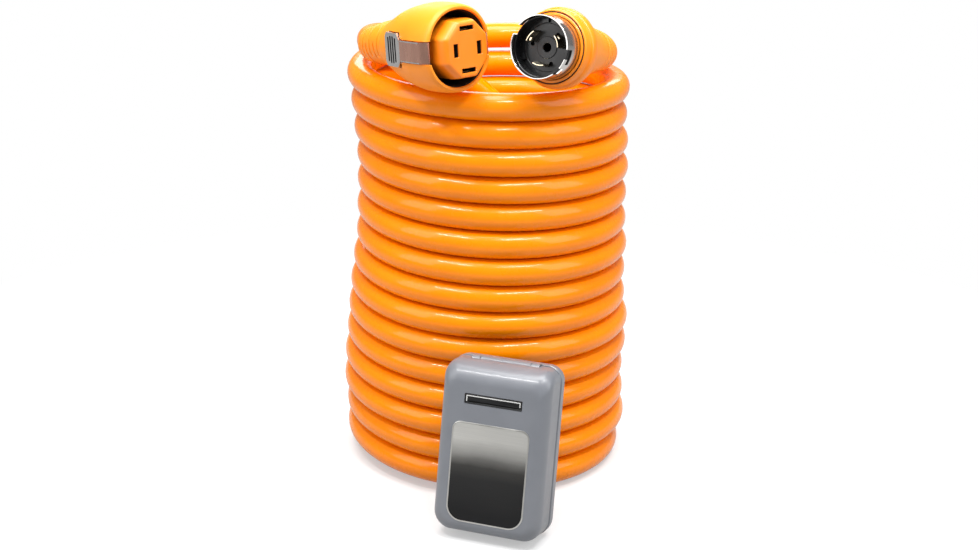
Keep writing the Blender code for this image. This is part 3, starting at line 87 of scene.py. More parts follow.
# The pile is wider at its foot: height and growth of the radius.
GIRTH = [(0.0, 0.0060), (0.15, 0.0062), (0.22, 0.0), (0.30, -0.0045), (0.40, -0.0040), (0.455, 0.0)]
LOOSE = 2.2 * MM  # how far single turns are drawn in

BOOT_LENGTH = 50.0 * MM
BOOT_TIP_R = 19.0 * MM
BOOT_RIBS = 6
BOOT_SAMPLES = 240
SLIT = 0.15  # half a slit's width, as a share of the slits' spacing
SLIT_TURN = (math.radians(35), math.radians(125))

CONNECTOR_RIM = mm(-31.0, -165.0, 511.5)
CONNECTOR_YAW = 42.0
CONNECTOR_TILT = 6.0
SHELL_SECTIONS = [  # millimetres behind the rim, half width, half height, and squareness
    (100.0, 25.0, 25.0, 2.0), (98.0, 26.5, 26.5, 2.0), (88.0, 29.5, 30.5, 2.1),
    (72.0, 34.0, 37.5, 2.2), (52.0, 38.5, 43.0, 2.2), (34.0, 42.0, 46.0, 2.15),
    (12.0, 44.0, 46.0, 2.1), (0.0, 43.5, 44.5, 2.1),
]
SHELL_LENGTH = 100.0 * MM
SHELL_REAR_R = 25.0 * MM
HOOD_HALF_W = 44.0 * MM
HOOD_HALF_H = 45.0 * MM
HOOD_POWER = 2.1  # squareness of the mouth
HOOD_WALL = 5.5 * MM
HOOD_DEPTH = 45.0 * MM
MOUTH_TAPER = 2.0 * MM  # how far the mouth's wall comes in at its bottom
MOUTH_FLOOR = -HOOD_DEPTH + GAP
# Thickness of the painted-shade sheet in the hood's mouth.
SHADE_SHEET_T = 0.9 * MM
ROOM_HALF_W = 20.5 * MM
ROOM_HALF_H = 27.0 * MM
INSERT_W = 62.0 * MM
INSERT_H = 66.0 * MM
INSERT_CHAMFER = 17.0 * MM
INSERT_PROUD = 13.0 * MM
INSERT_REAR = 52.0 * MM
HEAD_H = 60.0 * MM
HEAD_SHAPE = [  # inset across and up, and height, of the insert's rounded head
    mm(0.2, 0.0, -38.0), mm(0.4, 0.1, 0.0), mm(0.9, 0.4, 5.0), mm(1.7, 0.8, 8.5), mm(2.9, 1.3, 11.0),
    mm(4.4, 2.0, 12.8), mm(5.6, 2.6, 13.5), mm(6.6, 3.1, 13.8), mm(7.6, 3.7, 13.9),
]
CONTACT_SLOTS = [  # place across and up, width and height
    mm(0.0, 21.5, 18.0, 4.5), mm(0.0, -21.5, 18.0, 4.5),
    mm(-15.5, 0.0, 5.5, 13.5), mm(15.5, 0.0, 5.5, 13.5),
]

LATCH_T = 1.6 * MM
PAD_T = 4.0 * MM
PAD_H = 35.0 * MM
STRAP_H = 22.0 * MM
PAD_REAR = 81.0 * MM
PAD_FRONT = 47.5 * MM
PIVOT_BACK = 48.5 * MM
PIVOT_INSET = 4.6 * MM  # pin axis below the strap's outer face
LATCH_PIN_R = 1.2 * MM
POCKET_DEPTH = 7.3 * MM
POCKET_MARGIN = 0.8 * MM
POCKET_OUT = -8.0 * MM  # outer depth of the pocket's cutter, which stands out of the shell
LATCH_PROUD = 0.6 * MM
HOOK_BACK = 9.0 * MM
HOOK_IN = 4.5 * MM
LATCH_EAR_R = 2.4 * MM
LATCH_EAR_T = 3.0 * MM

PLUG_FLANGE = mm(72.0, -130.0, 505.2)
PLUG_YAW = -30.0
PLUG_TILT = 12.0
FLANGE_BACK = 46.0 * MM
SHROUD_R = 33.0 * MM
SHROUD_WALL = 1.5 * MM
SHROUD_INNER_R = SHROUD_R - SHROUD_WALL
SHROUD_LENGTH = 52.0 * MM
NOTCHES = [  # degrees, then width, depth and distance below the rim
    (152, mm(11, 13, 0)), (137, mm(10, 6, 7)), (-8, mm(10, 11, 0)), (-20, mm(8, 6, 5)),
    (-44, mm(9, 7.5, 0)),
]
INSULATOR_FACE = -19.0 * MM
INSULATOR_T = 26.0 * MM
INSULATOR_WALL = 0.9 * MM  # of the recess in front of its face
CENTRE_HOLE_R = 4.5 * MM
BLADES = [("line_1", 145.0), ("line_2", 25.0), ("neutral", 265.0)]
BLADE_RADIUS = 18.5 * MM
BLADE_T = 2.2 * MM
BLADE_SPAN = 44.0
BLADE_TIP = 6.0 * MM
NECK_R = SHROUD_R + GAP  # bore of the plug's outer parts
NECK_WALL = 3.5 * MM
SEAM_R = 36.6 * MM
COLLAR_R = 42.8 * MM
COLLAR_FRONT = 32.5 * MM
COLLAR_REAR = 56.0 * MM
COLLAR_LIP = 3.5 * MM  # thickness of the collar's front
SEAM_Z = -COLLAR_FRONT + 3.2 * MM
GRIP_Z = -COLLAR_REAR - GAP
GRIP_SHOULDER = 36.9  # radius in millimetres, as the next one
GRIP_WAIST = 25.6
# Millimetres behind the grip's front, and radius of the foot and the crest.
GRIP_RAIL = [(1.0, 33.0, 38.6), (14.0, 30.0, 36.4), (22.0, 28.0, 31.6)]
BODY_REAR = 114.0 * MM
PLUG_BOOT_R = 25.0 * MM

INLET_YAW = -20.0
INLET_LEAN = 12.0
INLET_X = 20.0 * MM
INLET_Y = -226.593 * MM
INLET_W = 122.0 * MM
INLET_H = 186.0 * MM
FLANGE_T = 10.0 * MM
SOCKET_CLEARANCE = 1.5 * MM
SOCKET_W = INSERT_W + 2 * SOCKET_CLEARANCE
SOCKET_H = INSERT_H + 2 * SOCKET_CLEARANCE
SOCKET_WALL = 6.0 * MM
SOCKET_FRONT = 36.0 * MM
SOCKET_Y = -18.0 * MM
CUP_W = SOCKET_W + 2 * SOCKET_WALL + 8 * MM
CUP_H = SOCKET_H + 2 * SOCKET_WALL + 8 * MM
REAR_DEPTH = 30.0 * MM
CARRIER_BACK = 14.0 * MM
CARRIER_T = 8.0 * MM
LEDGE = 3.0 * MM
HINGE_DROP = 4.0 * MM
HINGE_Y = INLET_H / 2 - HINGE_DROP
HINGE_Z = 16.0 * MM
KNUCKLE_R = 5.5 * MM
KNUCKLE_WALL = 1.2 * MM
HINGE_PIN_R = 2.2 * MM
BARREL_L = 56.0 * MM
EAR_L = 9.0 * MM
EAR_X = BARREL_L / 2 + 2 * GAP + EAR_L / 2
LID_DEPTH = 40.0 * MM
LID_WALL = 3.2 * MM
LID_LOW = FLANGE_T + GAP
LID_TOP = FLANGE_T + LID_DEPTH
LID_MARGIN = 1.0 * MM
LID_EDGE_DEPTH = 15.0 * MM  # of the soft front edge
LID_EDGE_REACH = 13.5 * MM
BROW_DEPTH = 24.0 * MM
BROW_REACH = 23.0 * MM
HOLLOW_SHAPE = [  # inset, top and low corner radius, height
    (LID_WALL, 11 * MM, 16 * MM, LID_LOW - MM),
    (LID_WALL, 11 * MM, 16 * MM, LID_TOP - 22 * MM),
    (LID_WALL, 11 * MM, 16 * MM, LID_TOP - 13 * MM),
    (LID_WALL + 2.2 * MM, 10.5 * MM, 15 * MM, LID_TOP - 8 * MM),
    (LID_WALL + 6 * MM, 10 * MM, 14 * MM, LID_TOP - LID_WALL - 1.6 * MM),
    (LID_WALL + 10 * MM, 9 * MM, 12 * MM, LID_TOP - LID_WALL),
]
PLATE_W = 84.0 * MM
PLATE_H = 106.0 * MM
PLATE_Y = -25.0 * MM
PLATE_CORNERS = mm(8.0, 8.0, 16.0, 16.0)
SLOT_W = 64.0 * MM
SLOT_H = 11.0 * MM
SLOT_Y = 54.0 * MM
BEZEL_T = 2.0 * MM

CAMERA_PLACE = Vector((0.0, -1.8326, 0.8571))
CAMERA_DOWN = 0.3267  # radians below the horizon
CAMERA_ROLL = 0.0091
FITTED_FOCAL = 1870.84  # pixels
ZOOM = 0.888  # takes in the inlet's foot
IMAGE_W = 978
SENSOR_W = 36.0
SHIFT_X = 1.3  # pixels
SHIFT_Y = 22.0
LAMP_TARGET = (0.0, 0.0, 0.30)
LAMPS = [  # name, place, size and power
    ("left_softbox", (-1.30, -0.60, 1.10), (0.9, 1.2), 9.0),
    ("right_softbox", (1.30, -0.60, 1.10), (0.9, 1.2), 9.0),
    ("left_strip", (-0.62, -0.72, 1.80), (0.75, 0.10), 15.0),
    ("right_strip", (0.56, -0.68, 1.80), (0.92, 0.10), 17.0),
    ("overhead", (0.0, -0.05, 2.0), (1.3, 1.0), 39.0),
    ("rear_softbox", (0.0, 1.55, 1.25), (1.6, 0.8), 16.0),
]
WORLD_FILL = 0.24
WHITE = (1.0, 1.0, 1.0, 1.0)
BLACK = (0.0, 0.0, 0.0, 1.0)


# -------- materials
def srgb(red, green, blue):
    """A colour written as on screen, from 0 to 255, as linear values."""
    def linear(value):
        value /= 255
        return value / 12.92 if value <= 0.04045 else ((value + 0.055) / 1.055) ** 2.4
    return (linear(red), linear(green), linear(blue), 1.0)


def put(socket, value):
    """Give a socket a plain value or another node's output."""
    if isinstance(value, bpy.types.NodeSocket):
        socket.id_data.links.new(value, socket)
    else:
        socket.default_value = value


def add_node(tree, kind, *inputs, **named):
    """A new node. Its inputs are given in order or by name."""
    node = tree.nodes.new("ShaderNode" + kind)
    for socket, value in zip(node.inputs, inputs):
        put(socket, value)
    for name, value in named.items():
        put(node.inputs[name.replace("_", " ")], value)
    return node


def show(tree, shader):
    """Make a shader node the one that the tree puts out."""
    output = next(node for node in tree.nodes if node.type.startswith("OUTPUT"))
    put(output.inputs["Surface"], shader.outputs["Shader"])


class Nodes:
    """Short calls for building a node material."""

    def __init__(self, name, **shader_values):
        self.material = bpy.data.materials.new(name)
        self.material.use_nodes = True
        self.tree = self.material.node_tree
        self.shader = self.tree.nodes["Principled BSDF"]
        for socket, value in shader_values.items():
            put(self.shader.inputs[socket.replace("_", " ")], value)
        self.place = self.node("TexCoord").outputs["Object"]

    def node(self, kind, *inputs, **named):
        return add_node(self.tree, kind, *inputs, **named)

    def noise(self, scale, detail=3.0, stretch=None, roughness=0.5):
        place = self.place
        if stretch is not None:
            place = self.node("Mapping", Vector=place, Scale=stretch).outputs["Vector"]
        node = self.node("TexNoise", Vector=place, Scale=scale, Detail=detail, Roughness=roughness)
        return node.outputs["Fac"]

    def ramp(self, value, stops):
        node = self.node("ValToRGB", Fac=value)
        elements = node.color_ramp.elements
        while len(elements) < len(stops):
            elements.new(1.0)
        for element, (position, colour) in zip(elements, stops):
            element.position = position
            element.color = colour
        return node.outputs["Color"]

    def span(self, value, low, high, from_low=0.3, from_high=0.7):
        node = self.node("MapRange", Value=value, From_Min=from_low, From_Max=from_high,
                         To_Min=low, To_Max=high)
        return node.outputs["Result"]

    def mix(self, factor, first, second, blend="MIX"):
        node = self.node("Mix")
        node.data_type = "RGBA"
        node.blend_type = blend
        sockets = {socket.identifier: socket for socket in node.inputs}
        for key, value in (("Factor_Float", factor), ("A_Color", first), ("B_Color", second)):
            put(sockets[key], value)
        return next(socket for socket in node.outputs if socket.identifier == "Result_Color")

    def calculate(self, operation, *values):
        node = self.node("Math")
        node.operation = operation
        for socket, value in zip(node.inputs, values):
            put(socket, value)
        return node.outputs["Value"]

    def bump(self, height, strength, distance):
        node = self.node("Bump", Strength=strength, Distance=distance, Height=height)
        normal = self.shader.inputs["Normal"]
        if normal.is_linked:
            put(node.inputs["Normal"], normal.links[0].from_socket)
        put(normal, node.outputs["Normal"])

    def colour(self, output):
        put(self.shader.inputs["Base Color"], output)

    def rough(self, output):
        put(self.shader.inputs["Roughness"], output)


def moulded(name, colour, darker, roughness, grain=900.0, relief=0.05, coat=0.0):
    """Moulded plastic: faint mottling, a fine skin texture and uneven gloss."""
    n = Nodes(name, Specular_IOR_Level=0.5, Coat_Weight=coat, Coat_Roughness=0.12)
    n.colour(n.ramp(n.noise(28.0, 4.0), [(0.30, darker), (0.62, colour)]))
    n.rough(n.span(n.noise(60.0, 3.0), roughness - 0.05, roughness + 0.07))
    n.bump(n.noise(grain, 2.0), relief, 0.4 * MM)
    n.bump(n.noise(70.0, 2.0), 0.04, 1.0 * MM)
    return n.material


def cable_jacket():
    """Glossy vinyl with a slow waviness and faint handling marks."""
    n = Nodes("cable_vinyl", Specular_IOR_Level=0.18, Coat_Weight=0.34, Coat_Roughness=0.04)
    base = n.ramp(n.noise(14.0, 3.0), [(0.28, srgb(250, 134, 0)), (0.68, srgb(255, 142, 0))])
    marks = n.ramp(n.noise(60.0, 5.0, (1.0, 1.0, 2.5), 0.65), [(0.55, BLACK), (0.80, WHITE)])
    n.colour(n.mix(n.span(marks, 0.0, 0.10, 0.0, 1.0), base, srgb(255, 168, 60)))
    n.rough(n.span(n.noise(50.0, 3.0), 0.22, 0.32))
    n.bump(n.noise(520.0, 2.0), 0.01, 0.3 * MM)
    n.bump(n.noise(24.0, 2.0), 0.07, 1.6 * MM)
    return n.material


def metal(name, colour, roughness, stretch=(1.0, 1.0, 1.0), streak=0.05, brushed=500.0):
    """Metal with fine brushed lines."""
    n = Nodes(name, Metallic=1.0)
    lines = n.noise(brushed, 4.0, stretch)
    darker = tuple(value * 0.82 for value in colour[:3]) + (1.0,)
    n.colour(n.ramp(lines, [(0.25, darker), (0.75, colour)]))
    n.rough(n.span(lines, roughness - 0.06, roughness + 0.10))
    n.bump(lines, streak, 0.15 * MM)
    return n.material


def steel(name, colour, roughness):
    return metal(name, colour, roughness, (0.3, 0.3, 1.0), 0.02, 120.0)


def graded_plate():
    """Brushed plate that fades from silver at its top to black below its middle."""
    n = Nodes("graded_plate", Metallic=0.75, Specular_IOR_Level=0.4)
    up = n.node("SeparateXYZ", Vector=n.place).outputs["Y"]
    lines = n.noise(260.0, 5.0, (0.04, 6.0, 1.0), 0.7)
    wobble = n.span(n.noise(30.0, 3.0, (0.5, 1.0, 1.0)), -0.03, 0.03, 0.2, 0.8)
    height = n.span(up, 0.0, 1.0, PLATE_Y - PLATE_H / 2, PLATE_Y + PLATE_H / 2)
    fade = n.ramp(n.calculate("ADD", height, wobble), [
        (0.10, srgb(38, 38, 39)), (0.44, srgb(52, 52, 52)), (0.56, srgb(74, 73, 71)),
        (0.64, srgb(122, 121, 118)), (0.72, srgb(174, 173, 169)), (0.84, srgb(214, 213, 208))])
    brushing = n.ramp(lines, [(0.3, (0.25, 0.25, 0.25, 1)), (0.7, WHITE)])
    n.colour(n.mix(0.16, fade, brushing, "MULTIPLY"))
    n.rough(n.span(lines, 0.30, 0.46))
    n.bump(lines, 0.05, 0.1 * MM)
    return n.material


def rubber(name, colour, roughness=0.62):
    """Matt rubber with a slight bloom."""
    n = Nodes(name, Specular_IOR_Level=0.35)
    lighter = tuple(min(value * 1.7 + 0.004, 1.0) for value in colour[:3]) + (1.0,)
    n.colour(n.ramp(n.noise(90.0, 4.0), [(0.35, colour), (0.75, lighter)]))
    n.rough(n.span(n.noise(150.0, 3.0), roughness - 0.08, roughness + 0.08))
    n.bump(n.noise(800.0, 2.0), 0.08, 0.3 * MM)
    return n.material


MATERIALS = {
    "cable": cable_jacket(),
    "shell": moulded("shell_vinyl", srgb(254, 148, 17), srgb(251, 142, 13), 0.48),
    "insert": moulded("insert_vinyl", srgb(250, 134, 13), srgb(245, 128, 9), 0.38, coat=0.12),
    "boot": moulded("boot_vinyl", srgb(253, 147, 16), srgb(250, 140, 12), 0.46),
    "collar": moulded("collar_vinyl", srgb(254, 142, 8), srgb(250, 136, 6), 0.38, coat=0.15),
    "grey": moulded("inlet_grey", srgb(118, 121, 127), srgb(114, 117, 123), 0.34, 1100.0, 0.02, 0.25),
    "lip": moulded("lip_grey", srgb(212, 212, 210), srgb(202, 202, 200), 0.40),
    "grey_back": moulded("housing_grey", srgb(116, 118, 124), srgb(108, 110, 116), 0.5, 900.0, 0.06),
    "black": moulded("black_moulding", srgb(17, 18, 19), srgb(12, 12, 13), 0.30, 700.0, 0.04, 0.08),
    "clamp": moulded("clamp_grey", srgb(120, 122, 126), srgb(108, 110, 115), 0.5),
    "rubber": rubber("black_rubber", srgb(24, 24, 25)),
    # Near-black painted shade, put on slot walls and in the hood's mouth where only shade falls.
    "painted_shade": rubber("painted_shade_black", srgb(12, 11, 11), 0.8),
    "steel": steel("stainless", srgb(214, 212, 209), 0.14),
    # Latch steel warmed towards orange: a painted reflection of the orange shell round it.
    "steel_latch_orange_reflection": steel("stainless_latch_orange_reflection", srgb(222, 172, 152), 0.20),
    # Brighter copy of the latch steel: painted highlight on the thumb pad and the strap's hems.
    "steel_highlight": steel("stainless_painted_highlight", srgb(222, 219, 216), 0.22),
    "plate": graded_plate(),
    "border": metal("plate_border", srgb(206, 205, 200), 0.38, streak=0.02, brushed=90.0),
    "brass": metal("nickel_brass", srgb(226, 212, 184), 0.16, streak=0.02, brushed=160.0),
    # Contact metal: its own bronze colour, darkened further as painted shade of the deep slots that it
    # sits in.
    "bronze_shaded": metal("contact_bronze_shaded", srgb(120, 92, 58), 0.40),
}
CORE_COLOURS = {"line_1": (34, 34, 36), "line_2": (176, 32, 28), "neutral": (226, 226, 222),
                "ground": (38, 120, 58)}
for core, colour in CORE_COLOURS.items():
    MATERIALS["core_" + core] = rubber("core_" + core, srgb(*colour), 0.45)


# -------- mesh helpers
SHARP_ANGLE = math.radians(32.0)
RING_POINTS = 96


def smooth(mesh):
    mesh.shade_smooth()
    mesh.set_sharp_from_angle(angle=SHARP_ANGLE)
    return mesh


def to_mesh(bm):
    bmesh.ops.recalc_face_normals(bm, faces=bm.faces)
    mesh = bpy.data.meshes.new("shape")
    bm.to_mesh(mesh)
    bm.free()
    return smooth(mesh)


def loft(rings, closed=False):
    """Skin rings of equal point counts. closed joins the last ring to the first."""
    bm = bmesh.new()
    loops = [[bm.verts.new(point) for point in ring] for ring in rings]
    pairs = list(zip(loops, loops[1:]))
    if closed:
        pairs.append((loops[-1], loops[0]))
    for near, far in pairs:
        for index in range(len(near)):
            following = (index + 1) % len(near)
            bm.faces.new((near[index], near[following], far[following], far[index]))
    if not closed:
        bm.faces.new(loops[0])
        bm.faces.new(loops[-1])
    return to_mesh(bm)


def turned(profile, steps=128):
    """Turn (radius, height) pairs about +Z. They run down the outside, then up the inside."""
    angles = [2 * math.pi * index / steps for index in range(steps)]
    rings = [[Vector((radius * math.cos(angle), radius * math.sin(angle), height)) for angle in angles]
             for radius, height in profile]
    return loft(rings, closed=True)


def oval(half_w, half_h, z, power=2.0, centre=(0.0, 0.0)):
    """A ring between an ellipse, at power 2, and a box."""
    points = []
    for index in range(RING_POINTS):
        angle = 2 * math.pi * (index + 0.5) / RING_POINTS
        x, y = math.cos(angle), math.sin(angle)
        points.append(Vector((
            centre[0] + half_w * math.copysign(abs(x) ** (2 / power), x),
            centre[1] + half_h * math.copysign(abs(y) ** (2 / power), y), z)))
    return points


def rounded(corners, radii, steps=6):
    """A polygon with an arc at each corner. radii is one value, or one for each corner."""
    count = len(corners)
    radii = [radii] * count if isinstance(radii, float) else radii
    points = []
    for index, corner in enumerate(corners):
        here = Vector(corner)
        before = (Vector(corners[index - 1]) - here).normalized()
        after = (Vector(corners[(index + 1) % count]) - here).normalized()
        half = before.angle(after) / 2
        centre = here + (before + after).normalized() * radii[index] / math.sin(half)
        reach = radii[index] / math.tan(half)
        start = here + before * reach - centre
        end = here + after * reach - centre
        for step in range(steps + 1):
            arm = start.normalized().lerp(end.normalized(), step / steps).normalized()
            points.append(centre + arm * radii[index])
    return points


def rectangle(width, height, centre=(0.0, 0.0)):
    w, h = width / 2, height / 2
    return [(centre[0] + x, centre[1] + y) for x, y in ((w, h), (-w, h), (-w, -h), (w, -h))]


def soft_rectangle(width, height, radii, steps, centre=(0.0, 0.0)):
    return rounded(rectangle(width, height, centre), radii, steps)


def octagon(width, height, cut, centre=(0.0, 0.0)):
    w, h = width / 2, height / 2
    corners = ((w, h - cut), (w - cut, h), (cut - w, h), (-w, h - cut),
               (-w, cut - h), (cut - w, -h), (w - cut, -h), (w, cut - h))
    return [(centre[0] + x, centre[1] + y) for x, y in corners]


def at_height(outline, z):
    return [Vector((point[0], point[1], z)) for point in outline]


def stack(*levels):
    """Rings from (outline, height) pairs."""
    return [at_height(outline, z) for outline, z in levels]


def prism(outline, low, high):
    return loft(stack((outline, low), (outline, high)))


def spin(degrees):
    return Matrix.Rotation(math.radians(degrees), 4, "Z")


def boxes(*entries):
    """One mesh of separate boxes, each (centre, size) or (centre, size, turn)."""
    bm = bmesh.new()
    for entry in entries:
        turn = entry[2] if len(entry) > 2 else Matrix.Identity(4)
        matrix = Matrix.Translation(entry[0]) @ turn @ Matrix.Diagonal((*entry[1], 1))
        bmesh.ops.create_cube(bm, size=1, matrix=matrix)
    return to_mesh(bm)


def rods(entries, sides):
    """One mesh of separate rods, each (centre, radius, length, axis letter)."""
    turns = {"x": Matrix.Rotation(math.pi / 2, 4, "Y"), "y": Matrix.Rotation(-math.pi / 2, 4, "X"),
             "z": Matrix.Identity(4)}
    bm = bmesh.new()
    for centre, radius, length, axis in entries:
        bmesh.ops.create_cone(bm, cap_ends=True, segments=sides, radius1=radius, radius2=radius,
                              depth=length, matrix=Matrix.Translation(centre) @ turns[axis])
    return to_mesh(bm)


def ball(centre, radii, segments=24):
    bm = bmesh.new()
    matrix = Matrix.Translation(centre) @ Matrix.Diagonal((*radii, 1))
    bmesh.ops.create_uvsphere(bm, u_segments=segments, v_segments=segments // 2, radius=1, matrix=matrix)
    return to_mesh(bm)


def add_object(name, data):
    obj = bpy.data.objects.new(name, data)
    bpy.context.scene.collection.objects.link(obj)
    return obj


def piece(name, mesh, material, matrix, nodes=(), body="cord_set"):
    """A finished piece in an assembly's frame, riding on its body."""
    mesh.name = name
    obj = add_object(name, mesh)
    obj.matrix_world = matrix
    obj.data.materials.append(MATERIALS[material])
    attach(obj, body)
    if nodes:
        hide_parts(*nodes)
    return obj


def combine(obj, tool_mesh, operation="DIFFERENCE", material=None):
    """Cut or join a mesh in the piece's own frame. material paints the faces that the cut leaves."""
    tool = add_object("tool", tool_mesh)
    tool.matrix_world = obj.matrix_world
    if material is not None:
        obj.data.materials.append(MATERIALS[material])
        tool.data.materials.append(MATERIALS[material])
    modifier = obj.modifiers.new("Combine", "BOOLEAN")
    modifier.operation = operation
    modifier.solver = "EXACT"
    modifier.material_mode = "TRANSFER" if material is not None else "INDEX"
    modifier.object = tool
    graph = bpy.context.evaluated_depsgraph_get()
    mesh = bpy.data.meshes.new_from_object(obj.evaluated_get(graph))
    obj.modifiers.clear()
    obj.data = smooth(mesh)
    bpy.data.objects.remove(tool)


def soften(obj, width):
    """Round the sharp edges."""
    modifier = obj.modifiers.new("Soften", "BEVEL")
    modifier.width = width
    modifier.segments = 2
    modifier.limit_method = "ANGLE"
    modifier.angle_limit = math.radians(40.0)
    modifier.harden_normals = True


def repaint(material, *names):
    """Give CAD nodes that keep their shape a material."""
    for name in names:
        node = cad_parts[name]
        node.data.materials.clear()
        node.data.materials.append(MATERIALS[material])


def assembly_matrix(origin, yaw, tilt):
    """A frame whose +Z points at the viewer, turned yaw degrees to the right and tilt up."""
    yaw, tilt = math.radians(yaw), math.radians(tilt)
    forward = Vector((math.sin(yaw) * math.cos(tilt), -math.cos(yaw) * math.cos(tilt), math.sin(tilt)))
    right = Vector((0, 0, 1)).cross(forward).normalized()
    turn = Matrix((right, forward.cross(right), forward)).transposed().to_4x4()
    return Matrix.Translation(Vector(origin) + AXIS) @ turn


# -------- cable route
def smoothstep(value):
    value = min(max(value, 0.0), 1.0)
    return value * value * (3 - 2 * value)


def polar(angle, radius, height):
    angle = math.radians(angle)
    return Vector((radius * math.cos(angle), radius * math.sin(angle), height))


def as_polar(point, near):
    """Degrees, radius and height of a point. The degrees are those closest to near."""
    angle = math.degrees(math.atan2(point.y, point.x))
    angle += 360 * round((near - angle) / 360)
    return Vector((angle, math.hypot(point.x, point.y), point.z))


def coil_point(sweep):
    inset = RUN_IN_INSET * smoothstep((BLEND_BEFORE - sweep) / BLEND_SWEEP)
    sunk = SETTLE_DROP * smoothstep(sweep / SETTLE_SWEEP)
    height = CABLE_R - sunk + COIL_PITCH * max(sweep, 0.0) / 360
    loose = LOOSE * (0.5 + 0.5 * math.sin(math.radians(sweep * 0.71 + 40)))
    loose *= smoothstep(sweep / 300) * smoothstep((COIL_SWEEP - sweep) / 200)
    return polar(COIL_START - sweep, COIL_R - inset - loose, height)


def coil_direction(sweep):
    return (coil_point(sweep + 0.01) - coil_point(sweep - 0.01)).normalized()


def smooth_route(route, per_span=12):
    """A smooth curve through (degrees, radius, height) points."""
    controls = [Vector(point) for point in route]
    controls = [controls[0] * 2 - controls[1]] + controls + [controls[-1] * 2 - controls[-2]]
    points = []
    for index in range(len(route) - 1):
        before, start, end, after = controls[index:index + 4]
        for step in range(per_span):
            t = step / per_span
            point = 0.5 * (2 * start + (end - before) * t
                           + (2 * before - 5 * start + 4 * end - after) * t * t
                           + (3 * start - before - 3 * end + after) * t ** 3)
            points.append(polar(*point))
    points.append(polar(*route[-1]))
    return points


def lead_route(rear, forward, route, sweep, into_coil):
    """A lead's centre line, from a shell's rear to the winding, about the coil's axis."""
    away = coil_direction(sweep) * (-1 if into_coil else 1)
    exits = [rear - forward * STRAIGHT_EXIT * share for share in (0.0, 0.5, 1.0)]
    controls = [as_polar(point, route[0][0]) for point in exits] + [Vector(p) for p in route]
    controls.append(as_polar(coil_point(sweep) + away * (4 * MM + GAP), route[-1][0]))
    return smooth_route(controls)


def resample(points, spacing):
    """Evenly spaced points along a polyline, with its ends kept."""
    lengths = [(second - first).length for first, second in zip(points, points[1:])]
    count = max(round(sum(lengths) / spacing), 1)
    step = sum(lengths) / count
    found, travelled, wanted = [points[0]], 0.0, step
    for first, second, length in zip(points, points[1:], lengths):
        while len(found) < count and travelled + length >= wanted:
            found.append(first.lerp(second, (wanted - travelled) / length))
            wanted += step
        travelled += length
    return found + [points[-1]]


def relaxed(points, rounds=3):
    """The same line with its small kinks evened out."""
    for _ in range(rounds):
        middle = [(before + 2 * here + after) / 4
                  for before, here, after in zip(points, points[1:], points[2:])]
        points = [points[0]] + middle + [points[-1]]
    return points


def at(table, height):
    """A table's value at a height, blended between its entries."""
    for (low, first), (high, second) in zip(table, table[1:]):
        if height <= high:
            return first + (second - first) * smoothstep((height - low) / (high - low))
    return 0.0


def placed(points):
    """Points about the coil's axis, moved to their place and leaned with the pile.

    Where the pile is wider, its front stays in line, so the inlet keeps its place.
    """
    moved = []
    for point in points:
        growth = at(GIRTH, point.z)
        outward = Vector((point.x, point.y, 0)).normalized() * growth
        moved.append(point + AXIS + outward + Vector((at(DRIFT, point.z), max(growth, 0.0), 0)))
    return moved


# -------- cable
def cable_line(connector_lead, plug_lead, connector_forward, plug_forward):
    """The whole cable's centre line, from inside the connector to inside the plug."""
    sweep = COIL_SWEEP + RUN_IN_SWEEP
    steps = round(sweep / 4)
    wound = [coil_point(-RUN_IN_SWEEP + sweep * index / steps) for index in range(steps + 1)]
    line = [connector_lead[0] + connector_forward * CABLE_END_IN] + connector_lead
    line += wound[1:-1] + plug_lead[::-1] + [plug_lead[0] + plug_forward * CABLE_END_IN]
    return placed(relaxed(resample(line, 9 * MM)))


def build_cable(points):
    curve = bpy.data.curves.new("power_cable", "CURVE")
    curve.dimensions = "3D"
    curve.bevel_depth = CABLE_R
    curve.bevel_resolution = 10
    curve.use_fill_caps = True
    spline = curve.splines.new("POLY")
    spline.points.add(len(points) - 1)
    for target, point in zip(spline.points, points):
        target.co = (*point, 1)
    return piece("power_cable", curve, "cable", Matrix.Identity(4),
                 ("cable_coil", "cable_connector_lead", "cable_plug_lead"))


def swept(path, radius_at):
    """Rings square to a path. radius_at takes the ring's share of the path and the angle."""
    rings, side = [], None
    for index, point in enumerate(path):
        ahead = (path[min(index + 1, len(path) - 1)] - path[max(index - 1, 0)]).normalized()
        side = ahead.cross(Vector((0, 0, 1))) if side is None else side - ahead * side.dot(ahead)
        side.normalize()
        up = side.cross(ahead)
        share = index / (len(path) - 1)
        ring = []
        for step in range(RING_POINTS):
            angle = 2 * math.pi * step / RING_POINTS
            radius = radius_at(share, angle)
            ring.append(point + radius * (math.cos(angle) * side + math.sin(angle) * up))
        rings.append(ring)
    return rings


def boot_path(lead):
    """Closely spaced points along a lead's first stretch, from just behind the shell."""
    path, travelled = [], 0.0
    fine = resample(lead, 0.5 * MM)
    wanted = [GAP + (BOOT_LENGTH - GAP) * index / BOOT_SAMPLES for index in range(BOOT_SAMPLES + 1)]
    for first, second in zip(fine, fine[1:]):
        length = (second - first).length
        while wanted and travelled + length >= wanted[0]:
            path.append(first.lerp(second, (wanted.pop(0) - travelled) / length))
        travelled += length
    return placed(path)


